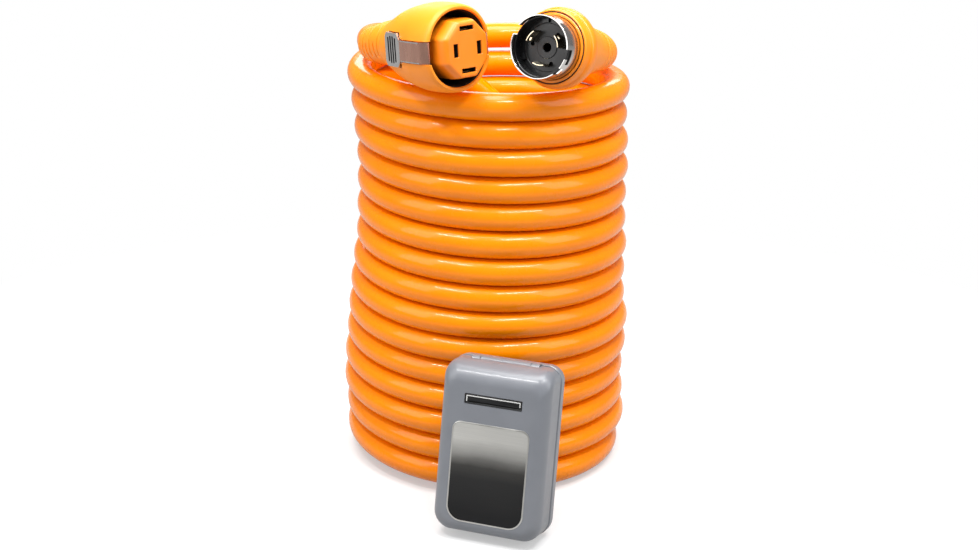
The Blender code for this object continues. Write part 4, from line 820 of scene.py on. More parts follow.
def build_boot(name, lead, root_r, depth, full, node):
    """A strain relief that bends with the cable. Its slits run right round or stop short."""
    def outer(share, angle):
        radius = root_r + (BOOT_TIP_R - root_r) * share
        phase = share * (BOOT_RIBS + 0.8) - 0.7
        ring = round(phase)
        away = abs(phase - ring)
        if 0 <= ring < BOOT_RIBS and away < SLIT:
            shown = math.cos(angle + SLIT_TURN[ring % 2])
            fade = 1.0 if full else smoothstep((abs(shown) - 0.42) / 0.12)
            radius -= depth * fade * smoothstep((SLIT - away) / (0.5 * SLIT))
        tip = smoothstep((share - 0.965) / 0.035)
        return radius - 1.6 * MM * tip * tip

    def inner(share, angle):
        return CABLE_R + BORE_CLEARANCE * 0.4

    path = boot_path(lead)
    mesh = loft(swept(path, outer) + swept(path, inner)[::-1], closed=True)
    piece(name, mesh, "boot", Matrix.Identity(4), (node,))


# -------- female connector
def shell_section(back):
    """Half width, half height and squareness at a distance behind the rim, smoothly."""
    entries = SHELL_SECTIONS
    for index in range(len(entries) - 1):
        if back >= entries[index + 1][0] * MM or index == len(entries) - 2:
            break
    before = entries[max(index - 1, 0)]
    start, end = entries[index], entries[index + 1]
    after = entries[min(index + 2, len(entries) - 1)]
    t = (start[0] * MM - back) / ((start[0] - end[0]) * MM)
    t = min(max(t, 0.0), 1.0)
    width = start[0] - end[0]
    h00, h10 = 2 * t ** 3 - 3 * t ** 2 + 1, t ** 3 - 2 * t ** 2 + t
    h01, h11 = -2 * t ** 3 + 3 * t ** 2, t ** 3 - t ** 2
    values = []
    for column in (1, 2, 3):
        slope_in = (end[column] - before[column]) / max(before[0] - end[0], 1e-6)
        slope_out = (after[column] - start[column]) / max(start[0] - after[0], 1e-6)
        values.append(h00 * start[column] + h10 * width * slope_in
                      + h01 * end[column] + h11 * width * slope_out)
    return values[0] * MM, values[1] * MM, values[2]


def shell_half_width(back):
    """The model's straight-sided half width, which the levers are fitted to."""
    for (rear, rear_w, _, _), (front, front_w, _, _) in zip(SHELL_SECTIONS, SHELL_SECTIONS[1:]):
        if back >= front * MM:
            share = (rear * MM - back) / ((rear - front) * MM)
            return (rear_w + (front_w - rear_w) * share) * MM
    return SHELL_SECTIONS[-1][1] * MM


def hood_ring(inset, z):
    """A ring in the hood's mouth, drawn in from the hood's outline."""
    return oval(HOOD_HALF_W - inset, HOOD_HALF_H - inset, z, HOOD_POWER)


def bar_rings(side, stations):
    """A bar along the shell's side: distance back, half height, inner and outer depth."""
    rings = []
    for back, half, low, high in stations:
        surface = shell_half_width(max(back, HOOK_BACK)) + LATCH_PROUD
        near, far, z = side * (surface - low), side * (surface - high), -back
        rings.append([Vector((near, -half, z)), Vector((far, -half, z)),
                      Vector((far, half, z)), Vector((near, half, z))])
    return rings


def hem_rings(side, half):
    """The raised hem along one edge of a latch's strap."""
    edge = half * (STRAP_H / 2 - 0.1 * MM)
    inside = half * (STRAP_H / 2 - 1.3 * MM)
    rings = []
    for back in (PAD_FRONT - 2 * MM, 40 * MM, 30 * MM, 20 * MM, HOOK_BACK + 1.5 * MM):
        surface = side * (shell_half_width(back) + LATCH_PROUD)
        low, high = surface - side * 0.6 * MM, surface + side * 0.25 * MM
        corners = ((low, edge), (high, edge), (high, inside), (low, inside))
        rings.append([Vector((x, y, -back)) for x, y in corners])
    return rings


def latch_pivot(side):
    surface = shell_half_width(PIVOT_BACK) + LATCH_PROUD
    return (side * (surface - PIVOT_INSET), 0.0, -PIVOT_BACK)


def cut_latch_pocket(obj, side):
    pad_half = PAD_H / 2 + POCKET_MARGIN
    strap_half = STRAP_H / 2 + POCKET_MARGIN
    shallow = LATCH_T + 1.2 * MM
    through = LATCH_T + HOOK_IN + 2 * MM
    deep_end = PIVOT_BACK - LATCH_EAR_R - 0.5 * MM
    stations = [(PAD_REAR + POCKET_MARGIN, 0.6 * pad_half, POCKET_DEPTH),
                (PAD_REAR - 5 * MM, pad_half, POCKET_DEPTH),
                (PAD_FRONT + 3 * MM, pad_half, POCKET_DEPTH),
                (PAD_FRONT - MM, strap_half, POCKET_DEPTH),
                (deep_end, strap_half, POCKET_DEPTH),
                (deep_end - 0.5 * MM, strap_half, shallow),
                (HOOK_BACK + 2 * MM, strap_half, shallow),
                (HOOK_BACK + MM, strap_half, through),
                (-5 * MM, strap_half, through)]
    combine(obj, loft(bar_rings(side, [(*station, POCKET_OUT) for station in stations])))


def shell_rings():
    """Rings over the shell's outside, then round its rim and down the mouth."""
    rings = []
    for step in range(41):
        back = SHELL_LENGTH * (1 - step / 40)
        half_w, half_h, power = shell_section(back)
        rim = 1.3 * MM * smoothstep(1 - back / (2.2 * MM))
        rings.append(oval(half_w - rim, half_h - rim, -back, power))
    rings += [hood_ring(2.6 * MM, 0.6 * MM), hood_ring(HOOD_WALL - 0.9 * MM, 0.5 * MM),
              hood_ring(HOOD_WALL - 0.2 * MM, -0.4 * MM), hood_ring(HOOD_WALL, -2 * MM),
              hood_ring(HOOD_WALL, -10 * MM), hood_ring(HOOD_WALL + MOUTH_TAPER, -HOOD_DEPTH)]
    return rings


def build_shell(matrix):
    shell = piece("connector_hood", loft(shell_rings()), "shell", matrix, ("connector_shell",))
    bore = CABLE_R + BORE_CLEARANCE
    rear = -SHELL_LENGTH
    room = [oval(bore, bore, rear - 5 * MM), oval(bore, bore, rear + 8 * MM),
            oval(ROOM_HALF_W, ROOM_HALF_W, rear + 9 * MM),
            oval(ROOM_HALF_W, ROOM_HALF_H, -INSERT_REAR - 3 * MM, 2.4),
            oval(ROOM_HALF_W, ROOM_HALF_H, -INSERT_REAR - GAP, 2.4)]
    combine(shell, loft(room))
    seat = octagon(INSERT_W + 2 * GAP, INSERT_H + 2 * GAP, INSERT_CHAMFER)
    combine(shell, prism(seat, -INSERT_REAR - GAP - 0.1 * MM, -HOOD_DEPTH + MM))
    for side in (-1, 1):
        cut_latch_pocket(shell, side)
        hole = (latch_pivot(side), LATCH_PIN_R + GAP, STRAP_H + 8 * MM + 2 * GAP, "y")
        combine(shell, rods([hole], 16))
    for side in (-1, 1):
        for x, y, z in ((40.4, 21.0, -36.0), (39.2, -23.0, -34.0)):
            combine(shell, ball(mm(side * x, y, z), mm(2.2, 2.4, 1.1)))
    soften(shell, 0.35 * MM)


def latch_stations():
    pad_half, strap_half = PAD_H / 2, STRAP_H / 2
    return [(PAD_REAR, 0.68 * pad_half, PAD_T, 0.6 * MM),
            (PAD_REAR - 0.8 * MM, 0.74 * pad_half, PAD_T, 0.0),
            (PAD_REAR - 5 * MM, pad_half, PAD_T, 0.0),
            (PAD_FRONT + 5 * MM, pad_half, PAD_T, 0.0),
            (PAD_FRONT, strap_half, PAD_T, 0.0),
            (PAD_FRONT - MM, strap_half, LATCH_T, 0.1 * MM),
            (40 * MM, strap_half, LATCH_T, 0.0),
            (30 * MM, strap_half, LATCH_T, 0.0),
            (20 * MM, strap_half, LATCH_T, 0.0),
            (HOOK_BACK + 0.8 * MM, strap_half, LATCH_T, 0.0),
            (HOOK_BACK - 0.6 * MM, strap_half, LATCH_T + 0.5 * MM, 0.5 * MM),
            (MM, strap_half, LATCH_T + HOOK_IN, HOOK_IN)]


def add_latch_ears(lever, side):
    """Two ears under the strap, with a bore for the pin."""
    pivot = latch_pivot(side)
    web = PIVOT_INSET - LATCH_T / 2
    ears, webs = [], []
    for half in (-1, 1):
        y = half * (STRAP_H - LATCH_EAR_T) / 2
        ears.append(((pivot[0], y, pivot[2]), LATCH_EAR_R, LATCH_EAR_T, "y"))
        webs.append(((pivot[0] + side * web / 2, y, pivot[2]), (web, LATCH_EAR_T, 2 * LATCH_EAR_R)))
    combine(lever, rods(ears, 24), "UNION")
    combine(lever, boxes(*webs), "UNION")
    combine(lever, rods([(pivot, LATCH_PIN_R + GAP, STRAP_H + 2 * MM, "y")], 16))


def cut_pad_slots(lever, side):
    """Four grip slots across the thumb pad, their walls painted near black as painted shade."""
    pitch = (PAD_REAR - PAD_FRONT - 8 * MM) / 5
    slope = (shell_half_width(PAD_FRONT) - shell_half_width(PAD_REAR)) / (PAD_REAR - PAD_FRONT)
    turn = Matrix.Rotation(side * math.atan(slope), 4, "Y")
    for index in range(4):
        back = PAD_REAR - 6.2 * MM - pitch * (index + 0.5)
        centre = Vector((side * (shell_half_width(back) + LATCH_PROUD), 0, -back))
        tall = PAD_H - (9.5 * MM if index in (0, 3) else 6.5 * MM)
        slot = prism(soft_rectangle(3.1 * MM, tall, 1.5 * MM, 5), -1.7 * MM, 1.7 * MM)
        slot.transform(Matrix.Translation(centre) @ turn @ Matrix.Rotation(math.pi / 2, 4, "Y"))
        combine(lever, slot, material="painted_shade")


def paint_pad_highlight(lever):
    """Paint the thumb pad in brighter steel than the strap, as a painted highlight."""
    names = [slot.name for slot in lever.data.materials]
    strap, bright = names.index("stainless_latch_orange_reflection"), names.index("stainless_painted_highlight")
    for face in lever.data.polygons:
        if face.material_index == strap and face.center.z < -PAD_FRONT:
            face.material_index = bright


def build_latch(matrix, side, side_name):
    lever = piece("latch_lever_" + side_name, loft(bar_rings(side, latch_stations())), "steel_latch_orange_reflection",
                  matrix, ("connector_latch_" + side_name,), "latch_" + side_name)
    add_latch_ears(lever, side)
    for half in (-1, 1):
        # The hems take the brighter steel, a painted highlight along the strap's edges.
        combine(lever, loft(hem_rings(side, half)), "UNION", "steel_highlight")
    cut_pad_slots(lever, side)
    paint_pad_highlight(lever)
    soften(lever, 0.25 * MM)


def build_insert(matrix):
    """The octagonal insert with its rounded head and four contact slots."""
    foot = rounded(octagon(INSERT_W, INSERT_H, INSERT_CHAMFER), 6.0 * MM, 5)
    rings = stack((foot, -INSERT_REAR), (foot, -HOOD_DEPTH + 4 * MM))
    for across, up, height in HEAD_SHAPE:
        outline = octagon(INSERT_W - 2 * across, HEAD_H - 2 * up, INSERT_CHAMFER - 0.5 * up)
        rings.append(at_height(rounded(outline, 6.0 * MM - 0.25 * across, 5), height))
    insert = piece("slotted_insert", loft(rings), "insert", matrix, ("connector_insert",))
    middle = (INSERT_PROUD - INSERT_REAR) / 2
    length = INSERT_REAR + INSERT_PROUD + 2 * MM
    for x, y, wide, tall in CONTACT_SLOTS:
        outline = soft_rectangle(wide, tall, 0.5 * MM, 3, (x, y))
        # The slot walls are painted near black: painted shade of the deep slots.
        combine(insert, prism(outline, middle - length / 2, middle + length / 2), material="painted_shade")
        flare = [at_height(soft_rectangle(wide + grow, tall + grow, 0.6 * MM, 3, (x, y)), height)
                 for grow, height in ((0.0, INSERT_PROUD - 0.2 * MM), (1.5 * MM, INSERT_PROUD + 1.3 * MM))]
        combine(insert, loft(flare))
    soften(insert, 0.2 * MM)


def build_face_seal(matrix):
    """The rubber seal round the insert's foot."""
    inset = HOOD_WALL + MOUTH_TAPER + 2 * GAP
    rings = [hood_ring(inset, MOUTH_FLOOR), hood_ring(inset - 0.5 * MM, MOUTH_FLOOR + 12 * MM),
             hood_ring(inset + 0.6 * MM, MOUTH_FLOOR + 12 * MM),
             hood_ring(inset + 1.2 * MM, MOUTH_FLOOR + 5 * MM),
             hood_ring(inset + 1.6 * MM, MOUTH_FLOOR + 4 * MM)]
    seal = piece("face_seal", loft(rings), "rubber", matrix, ("connector_seal",))
    hole = octagon(INSERT_W + 2 * GAP, INSERT_H + 2 * GAP, INSERT_CHAMFER)
    combine(seal, prism(hole, MOUTH_FLOOR - MM, MOUTH_FLOOR + 14 * MM))


def build_mouth_shade_sheet(matrix):
    """A thin near-black sheet that covers the hood's mouth: painted shade for its deep, shadowed walls."""
    wall = HOOD_WALL + 0.15 * MM
    low = wall + MOUTH_TAPER
    low_z = MOUTH_FLOOR + 12.5 * MM
    rings = [hood_ring(low, low_z), hood_ring(wall, -12 * MM), hood_ring(wall, -1.6 * MM),
             hood_ring(wall + SHADE_SHEET_T, -2.4 * MM), hood_ring(wall + SHADE_SHEET_T, -12 * MM),
             hood_ring(low + SHADE_SHEET_T, low_z)]
    shade_sheet = piece("mouth_shade_sheet", loft(rings, closed=True), "painted_shade", matrix)
    for side in (-1, 1):
        cut_latch_pocket(shade_sheet, side)


def build_connector(matrix):
    build_shell(matrix)
    build_latch(matrix, -1, "left")
    build_latch(matrix, 1, "right")
    build_insert(matrix)
    build_face_seal(matrix)
    build_mouth_shade_sheet(matrix)


# -------- male plug
def arc_outline(radius, thick, span, middle, steps=18):
    outline = []
    for edge, order in ((radius + thick / 2, 1), (radius - thick / 2, -1)):
        for step in range(steps + 1)[::order]:
            angle = math.radians(middle + span * (step / steps - 0.5))
            outline.append((edge * math.cos(angle), edge * math.sin(angle)))
    return outline


def notch(angle, across, depth, drop):
    """A box through the shroud's wall, from its rim or from drop below it."""
    turn = spin(angle)
    centre = turn @ Vector((SHROUD_R, 0, -drop - depth / 2 + (1 * MM if drop == 0 else 0)))
    return boxes((centre, (10 * MM, across, depth + (2 * MM if drop == 0 else 0)), turn))


def build_shroud(matrix):
    inner = SHROUD_INNER_R
    profile = [(inner + 0.35 * MM, 0), (SHROUD_R - 0.35 * MM, 0), (SHROUD_R, -0.5 * MM),
               (SHROUD_R, -10 * MM), (SHROUD_R, -SHROUD_LENGTH), (inner, -SHROUD_LENGTH),
               (inner, -10 * MM), (inner, -0.5 * MM)]
    shroud = piece("steel_shroud", turned(profile), "steel", matrix, ("plug_shroud",))
    for angle, sizes in NOTCHES:
        combine(shroud, notch(angle, *sizes))
    soften(shroud, 0.2 * MM)


def build_insulator(matrix):
    """The black face with its recess, blade slots, vents and ribbed wall."""
    face = INSULATOR_FACE
    low = face - INSULATOR_T
    bore = SHROUD_INNER_R - GAP
    wall = bore - INSULATOR_WALL
    profile = [(CENTRE_HOLE_R, face - 0.6 * MM), (CENTRE_HOLE_R + 0.6 * MM, face),
               (11.0 * MM, face), (11.6 * MM, face - 0.8 * MM), (24.5 * MM, face - 0.8 * MM),
               (25.2 * MM, face), (wall, face), (wall, -6.5 * MM),
               (bore - INSULATOR_WALL * 0.4, -6.0 * MM), (bore, -6.5 * MM), (bore, low),
               (CENTRE_HOLE_R, low)]
    insulator = piece("plug_insulator_face", turned(profile, 96), "black", matrix, ("plug_insulator",))
    for _, angle in BLADES:
        outline = arc_outline(BLADE_RADIUS, BLADE_T + 2 * GAP, BLADE_SPAN + 2, angle)
        combine(insulator, prism(outline, low - MM, face + MM))
    for angle in (52, 172, 292):
        centre = spin(angle) @ Vector((17.5 * MM, 0, face - 1.5 * MM))
        combine(insulator, rods([(centre, 2.4 * MM, 8 * MM, "z")], 24))
    for angle in (98, 205, 330):
        centre = spin(angle) @ Vector((27.5 * MM, 0, face + 1.2 * MM))
        combine(insulator, boxes((centre, mm(4.0, 7.0, 3.4), spin(angle))), "UNION")
    middle = (face - 6.5 * MM) / 2 - 0.5 * MM
    ribs = [(spin(angle) @ Vector((wall, 0, middle)), mm(0.9, 1.1, 11.5), spin(angle))
            for angle in range(158, 236, 6)]
    combine(insulator, boxes(*ribs), "UNION")
    soften(insulator, 0.2 * MM)


def build_blade(matrix, name, angle):
    """A curved blade with a tapered tip and a locking notch."""
    outline = arc_outline(BLADE_RADIUS, BLADE_T, BLADE_SPAN, angle)
    tip = arc_outline(BLADE_RADIUS, BLADE_T - 1.1 * MM, BLADE_SPAN - 4, angle)
    rings = stack((outline, INSULATOR_FACE - INSULATOR_T - 3 * MM), (outline, -BLADE_TIP - 1.6 * MM),
                  (tip, -BLADE_TIP))
    blade = piece("blade_" + name, loft(rings), "brass", matrix, ("plug_blade_" + name,))
    turn = spin(angle + BLADE_SPAN * 0.28)
    centre = turn @ Vector((BLADE_RADIUS, 0, -11.5 * MM))
    combine(blade, boxes((centre, mm(6.0, 3.6, 4.0), turn)))
    soften(blade, 0.2 * MM)


def build_seam_ring(matrix):
    """The thin black ring in the collar's front."""
    profile = [(SEAM_R + across * MM, SEAM_Z + up * MM)
               for across, up in ((0.75, -0.2), (0.75, -2.4), (-0.2, -2.4), (-0.2, -0.2))]
    piece("seam_ring", turned(profile, 96), "rubber", matrix, ("plug_seal_ring",))


def build_collar(matrix):
    """The stepped collar, from its bore over its front to its rear."""
    hub = NECK_R + NECK_WALL + GAP
    step = -COLLAR_FRONT - COLLAR_LIP
    profile = [(NECK_R + 0.5 * MM, SEAM_Z + 0.8 * MM)]
    profile += [(SEAM_R + across * MM, SEAM_Z + up * MM) for across, up in (
        (-1.2, 0.8), (-0.45, 0.0), (-0.45, -2.6), (1.0, -2.6), (1.0, -0.2), (1.6, 0.3))]
    profile += [(39.0 * MM, SEAM_Z - 0.2 * MM), (39.7 * MM, SEAM_Z - 1.4 * MM),
                mm(39.8, -38.4), mm(40.2, -39.2), mm(41.4, -39.6), mm(42.3, -40.6),
                (COLLAR_R, -42.6 * MM), (COLLAR_R, -49.4 * MM),
                mm(42.2, -51.2), mm(40.9, -52.4), mm(39.3, -53.0), mm(38.7, -54.0),
                (38.5 * MM, -COLLAR_REAR), (hub, -COLLAR_REAR), (hub, step), (NECK_R, step),
                (NECK_R, SEAM_Z + 0.2 * MM)]
    piece("stepped_collar", turned(profile), "collar", matrix, ("plug_collar",))


def grip_profile():
    """The tapered grip: neck, shoulder, waist, rear end, then the room inside."""
    neck = NECK_R + NECK_WALL
    front = -COLLAR_FRONT - COLLAR_LIP - GAP
    rear = -BODY_REAR
    profile = [(neck, front), (neck, GRIP_Z), (36.2 * MM, GRIP_Z), (GRIP_SHOULDER * MM, GRIP_Z - 0.8 * MM)]
    for index in range(13):
        share = index / 12
        blend = share * share * (3 - 2 * share) * 0.35 + share * 0.65
        radius = GRIP_SHOULDER - (GRIP_SHOULDER - GRIP_WAIST) * blend
        profile.append((radius * MM, GRIP_Z - (2.0 + 50.0 * share) * MM))
    bore = CABLE_R + BORE_CLEARANCE
    room = PLUG_BOOT_R - 3.5 * MM
    stop = -SHROUD_LENGTH - GAP
    return profile + [
        (PLUG_BOOT_R + 0.4 * MM, rear + 2.4 * MM), (PLUG_BOOT_R, rear + 0.6 * MM),
        (PLUG_BOOT_R - 0.6 * MM, rear), (bore, rear), (bore, rear + 8 * MM),
        (room - MM, rear + 8 * MM), (room + 4 * MM, GRIP_Z - 20 * MM),
        (SHROUD_R - 4 * MM, stop - 4 * MM), (SHROUD_R - 4 * MM, stop), (NECK_R, stop),
        (NECK_R, front)]


def rail_rings(across):
    """One of the two rails on the grip's underside."""
    turn = spin(-78)
    rings = []
    for back, foot, crest in GRIP_RAIL:
        corners = (mm(-1.3, foot), mm(1.3, foot), mm(1.0, crest), mm(-1.0, crest))
        rings.append([turn @ Vector((radius, across + dx, GRIP_Z - back * MM)) for dx, radius in corners])
    return rings


def build_grip(matrix):
    body = piece("plug_grip", turned(grip_profile()), "shell", matrix, ("plug_body",))
    for across in (-4.2 * MM, 4.2 * MM):
        combine(body, loft(rail_rings(across)), "UNION")
    for angle in (35, 145):
        mark = spin(angle) @ Vector((30.9 * MM, 0, GRIP_Z - 27 * MM))
        combine(body, ball(mark, mm(1.1, 1.1, 1.1), 16))
    soften(body, 0.3 * MM)


def build_plug(matrix):
    build_shroud(matrix)
    build_insulator(matrix)
    for name, angle in BLADES:
        build_blade(matrix, name, angle)
    build_seam_ring(matrix)
    build_collar(matrix)
    build_grip(matrix)


# -------- wall inlet
def add_hinge_ears(base):
    for side in (-1, 1):
        x = side * EAR_X
        combine(base, rods([((x, HINGE_Y, HINGE_Z), KNUCKLE_R, EAR_L, "x")], 48), "UNION")
        centre = (x, HINGE_Y, (FLANGE_T + HINGE_Z) / 2 - MM)
        combine(base, boxes((centre, (EAR_L, 1.6 * KNUCKLE_R, HINGE_Z - FLANGE_T + 2 * MM))), "UNION")


def cut_inlet_rooms(base):
    """The socket and the terminal room behind it, and the relief for the lid's barrel."""
    centre = (0.0, SOCKET_Y)
    room = octagon(SOCKET_W, SOCKET_H, INSERT_CHAMFER, centre)
    combine(base, prism(room, -CARRIER_BACK - CARRIER_T, SOCKET_FRONT + MM))
    back = octagon(SOCKET_W - 2 * LEDGE, SOCKET_H - 2 * LEDGE, INSERT_CHAMFER, centre)
    combine(base, prism(back, -REAR_DEPTH - MM, -CARRIER_BACK))
    low = HINGE_Z - KNUCKLE_R - 0.6 * MM
    tall = HINGE_DROP + KNUCKLE_R
    relief = (BARREL_L + 2 * GAP, tall + 2 * MM, 10 * MM)
    combine(base, boxes(((0, INLET_H / 2 - tall / 2, low + 5 * MM), relief)))


def cut_inlet_holes(base):
    """The hinge pin's bore, and the holes for the wall's and the cover's screws."""
    bore = ((0, HINGE_Y, HINGE_Z), HINGE_PIN_R + GAP, BARREL_L + 4 * EAR_L, "x")
    combine(base, rods([bore], 24))
    signs = [(across, up) for across in (-1, 1) for up in (-1, 1)]
    wall_x, wall_y = INLET_W / 2 - 9 * MM, INLET_H / 2 - 17 * MM
    cover_x, cover_y = CUP_W / 2 - 7 * MM, CUP_H / 2 - 7 * MM
    holes = [((sx * wall_x, sy * wall_y, FLANGE_T / 2), 2.6 * MM, 20 * MM, "z") for sx, sy in signs]
    holes += [((sx * cover_x, SOCKET_Y + sy * cover_y, -REAR_DEPTH), 2.3 * MM, 18 * MM, "z")
              for sx, sy in signs]
    combine(base, rods(holes, 24))


def build_inlet_base(matrix):
    """The flange with the socket's collar in front and the housing behind."""
    corners = mm(16.0, 16.0, 21.0, 21.0)
    levels = ((0.5 * MM, 0.0), (0.0, 0.6 * MM), (0.0, FLANGE_T - MM), (0.8 * MM, FLANGE_T))
    rings = [at_height(soft_rectangle(INLET_W - 2 * inset, INLET_H - 2 * inset, corners, 10), z)
             for inset, z in levels]
    base = piece("inlet_flange", loft(rings), "grey", matrix, ("inlet_base",))
    centre = (0.0, SOCKET_Y)
    half_w, half_h = SOCKET_W / 2 + SOCKET_WALL, SOCKET_H / 2 + SOCKET_WALL
    levels = ((0, FLANGE_T / 2), (0, SOCKET_FRONT - 0.8 * MM), (0.8 * MM, SOCKET_FRONT))
    collar = [oval(half_w - inset, half_h - inset, z, 3.0, centre) for inset, z in levels]
    combine(base, loft(collar), "UNION")
    cup = soft_rectangle(CUP_W, CUP_H, 10 * MM, 8, centre)
    combine(base, prism(cup, -REAR_DEPTH, FLANGE_T / 2), "UNION")
    add_hinge_ears(base)
    cut_inlet_rooms(base)
    cut_inlet_holes(base)
    soften(base, 0.4 * MM)


def lid_outline(inset, top_radius, low_radius, brow=0.0):
    """The lid's outline. brow draws its top edge further in."""
    margin = 2 * (LID_MARGIN + inset)
    radii = [top_radius, top_radius, low_radius, low_radius]
    return soft_rectangle(INLET_W - margin, INLET_H - margin - brow, radii, 10, (0.0, -brow / 2))


def brow_inset(height):
    """How far the lid's sloping brow has come in at a height."""
    share = (height - (LID_TOP - BROW_DEPTH)) / BROW_DEPTH
    share = min(max(share, 0.0), 1.0)
    return BROW_REACH * (1 - math.sqrt(1 - share * share))


def lid_rings():
    """The lid's outside, from its open edge over the brow and the soft front edge."""
    top_radius, low_radius = 14.5 * MM, 19.5 * MM
    rings = stack((lid_outline(0.5 * MM, 14 * MM, 19 * MM), LID_LOW),
                  (lid_outline(0.0, top_radius, low_radius), LID_LOW + 0.6 * MM))
    for index in range(5):
        height = LID_TOP - BROW_DEPTH + (BROW_DEPTH - LID_EDGE_DEPTH) * index / 5
        rings.append(at_height(lid_outline(0.0, top_radius, low_radius, brow_inset(height)), height))
    for index in range(17):
        angle = math.pi / 2 * index / 16
        inset = LID_EDGE_REACH * (1 - math.cos(angle) ** 0.9)
        height = LID_TOP - LID_EDGE_DEPTH * (1 - math.sin(angle))
        brow = max(brow_inset(height) - inset, 0.0)
        outline = lid_outline(inset, top_radius - 0.35 * inset, low_radius - 0.45 * inset, brow)
        rings.append(at_height(outline, height))
    return rings


def hollow_rings():
    rings = []
    for inset, top_radius, low_radius, height in HOLLOW_SHAPE:
        brow = max(brow_inset(height + 2.2 * MM) + LID_WALL - inset, 0.0)
        rings.append(at_height(lid_outline(inset, top_radius, low_radius, brow), height))
    return rings


def fit_lid_hinge(lid):
    """Room for the flange's ears, then the barrel and its bore."""
    for side in (-1, 1):
        room = (EAR_L + 4 * GAP, 3 * KNUCKLE_R, 2 * KNUCKLE_R + 6 * MM)
        combine(lid, boxes(((side * EAR_X, HINGE_Y, HINGE_Z - 2 * MM), room)))
    heel = (INLET_W + 2 * MM, 2 * KNUCKLE_R, 5.6 * MM)
    combine(lid, boxes(((0, HINGE_Y + 2 * MM, FLANGE_T), heel)))
    axis = (0, HINGE_Y, HINGE_Z)
    combine(lid, rods([(axis, KNUCKLE_R, BARREL_L, "x")], 48), "UNION")
    combine(lid, rods([(axis, KNUCKLE_R - KNUCKLE_WALL, BARREL_L + 2 * GAP, "x")], 32))


def plate_outline(grow):
    """The plate's outline, grown or drawn in all round."""
    radii = [radius + grow for radius in PLATE_CORNERS]
    return soft_rectangle(PLATE_W + 2 * grow, PLATE_H + 2 * grow, radii, 12, (0, PLATE_Y))


def slot_outline(inset, radius):
    return soft_rectangle(SLOT_W - 2 * inset, SLOT_H - 2 * inset, radius, 4, (0, SLOT_Y))


def build_lid_shell(matrix):
    """The deep lid with its hinge barrel, and the places for its plate and slot."""
    lid = piece("inlet_cover", loft(lid_rings()), "grey", matrix, ("inlet_lid",), "lid")
    combine(lid, loft(hollow_rings()))
    fit_lid_hinge(lid)
    recess = soft_rectangle(PLATE_W + 2 * GAP, PLATE_H + 2 * GAP, PLATE_CORNERS, 10, (0, PLATE_Y))
    combine(lid, prism(recess, LID_TOP - 0.7 * MM, LID_TOP + MM))
    combine(lid, prism(slot_outline(0.0, 1.0 * MM), LID_TOP - 2 * LID_WALL, LID_TOP + MM))
    soften(lid, 0.35 * MM)


def build_plate(matrix):
    """The bare graded plate and the fine border round it."""
    outline = plate_outline(0.0)
    inside = plate_outline(-0.75 * MM)
    base = LID_TOP - 0.4 * MM
    rings = stack((outline, base), (outline, base + 0.7 * MM), (inside, base + 0.85 * MM))
    piece("name_plate_blank", loft(rings), "plate", matrix, ("inlet_lid_plate",), "lid")
    rim = plate_outline(0.8 * MM)
    edge = stack((rim, LID_TOP - 0.2 * MM), (rim, LID_TOP + 0.15 * MM), (outline, LID_TOP + 0.5 * MM),
                 (inside, LID_TOP + 0.5 * MM), (inside, base + 0.80 * MM))
    piece("plate_border", loft(edge, closed=True), "border", matrix, (), "lid")


def build_slot_trim(matrix):
    """The lid's slot: a black bezel, a bar inside it and a pale lip."""
    outer = slot_outline(GAP, 0.9 * MM)
    hole = slot_outline(BEZEL_T, 0.5 * MM)
    rings = stack((outer, LID_TOP - LID_WALL), (outer, LID_TOP + 0.2 * MM), (hole, LID_TOP - 0.5 * MM),
                  (hole, LID_TOP - LID_WALL))
    piece("slot_bezel", loft(rings, closed=True), "black", matrix, ("inlet_slot_bezel",), "lid")

    wide = SLOT_W - 2 * BEZEL_T - 2 * GAP
    tall = SLOT_H - 2 * BEZEL_T - 2 * GAP
    outline = soft_rectangle(wide, tall, 0.5 * MM, 3, (0, SLOT_Y))
    crest = soft_rectangle(wide - 3 * MM, tall - 2.6 * MM, 0.5 * MM, 3, (0, SLOT_Y - 0.4 * MM))
    rings = stack((outline, LID_TOP - LID_WALL - 0.2 * MM), (outline, LID_TOP - 1.4 * MM),
                  (crest, LID_TOP - 0.6 * MM))
    piece("slot_bar", loft(rings), "black", matrix, ("inlet_slot_bar",), "lid")

    thick, z = mm(1.0, 1.2), LID_TOP - 0.7 * MM
    half_w, half_h = wide / 2 - 0.2 * MM, tall / 2 - 0.1 * MM
    top = ((0, SLOT_Y + half_h, z), (2 * half_w, *thick))
    left = ((-half_w, SLOT_Y, z), (thick[0], 2 * half_h, thick[1]))
    right = ((half_w, SLOT_Y + 0.25 * half_h, z), (thick[0], 1.5 * half_h, thick[1]))
    lip = piece("slot_lip", boxes(top), "lip", matrix, (), "lid")
    combine(lip, boxes(left), "UNION")
    combine(lip, boxes(right), "UNION")


def build_inlet(matrix):
    build_inlet_base(matrix)
    build_lid_shell(matrix)
    build_plate(matrix)
    build_slot_trim(matrix)


# -------- stage
def floor_material():
    """Pale floor that keeps the shadow, glows white further out and fills metal's reflections."""
    n = Nodes("pale_floor", Roughness=0.9, Specular_IOR_Level=0.1)
    rays = n.node("LightPath").outputs
    glow = n.node("Emission", Strength=1.0)
    distance = n.node("VectorMath")
    distance.operation = "LENGTH"
    put(distance.inputs[0], n.place)
    far = n.span(distance.outputs["Value"], 0.42, 1.0, 0.30, 0.95)
    n.colour(n.mix(rays["Is Camera Ray"], (0.42, 0.42, 0.42, 1), (0.90, 0.90, 0.90, 1)))
    seen = n.calculate("MULTIPLY", rays["Is Camera Ray"], far)
    mirrored = n.calculate("MULTIPLY_ADD", rays["Is Glossy Ray"], 0.30, seen)
    show(n.tree, n.node("MixShader", mirrored, n.shader.outputs["BSDF"], glow.outputs["Emission"]))
    return n.material


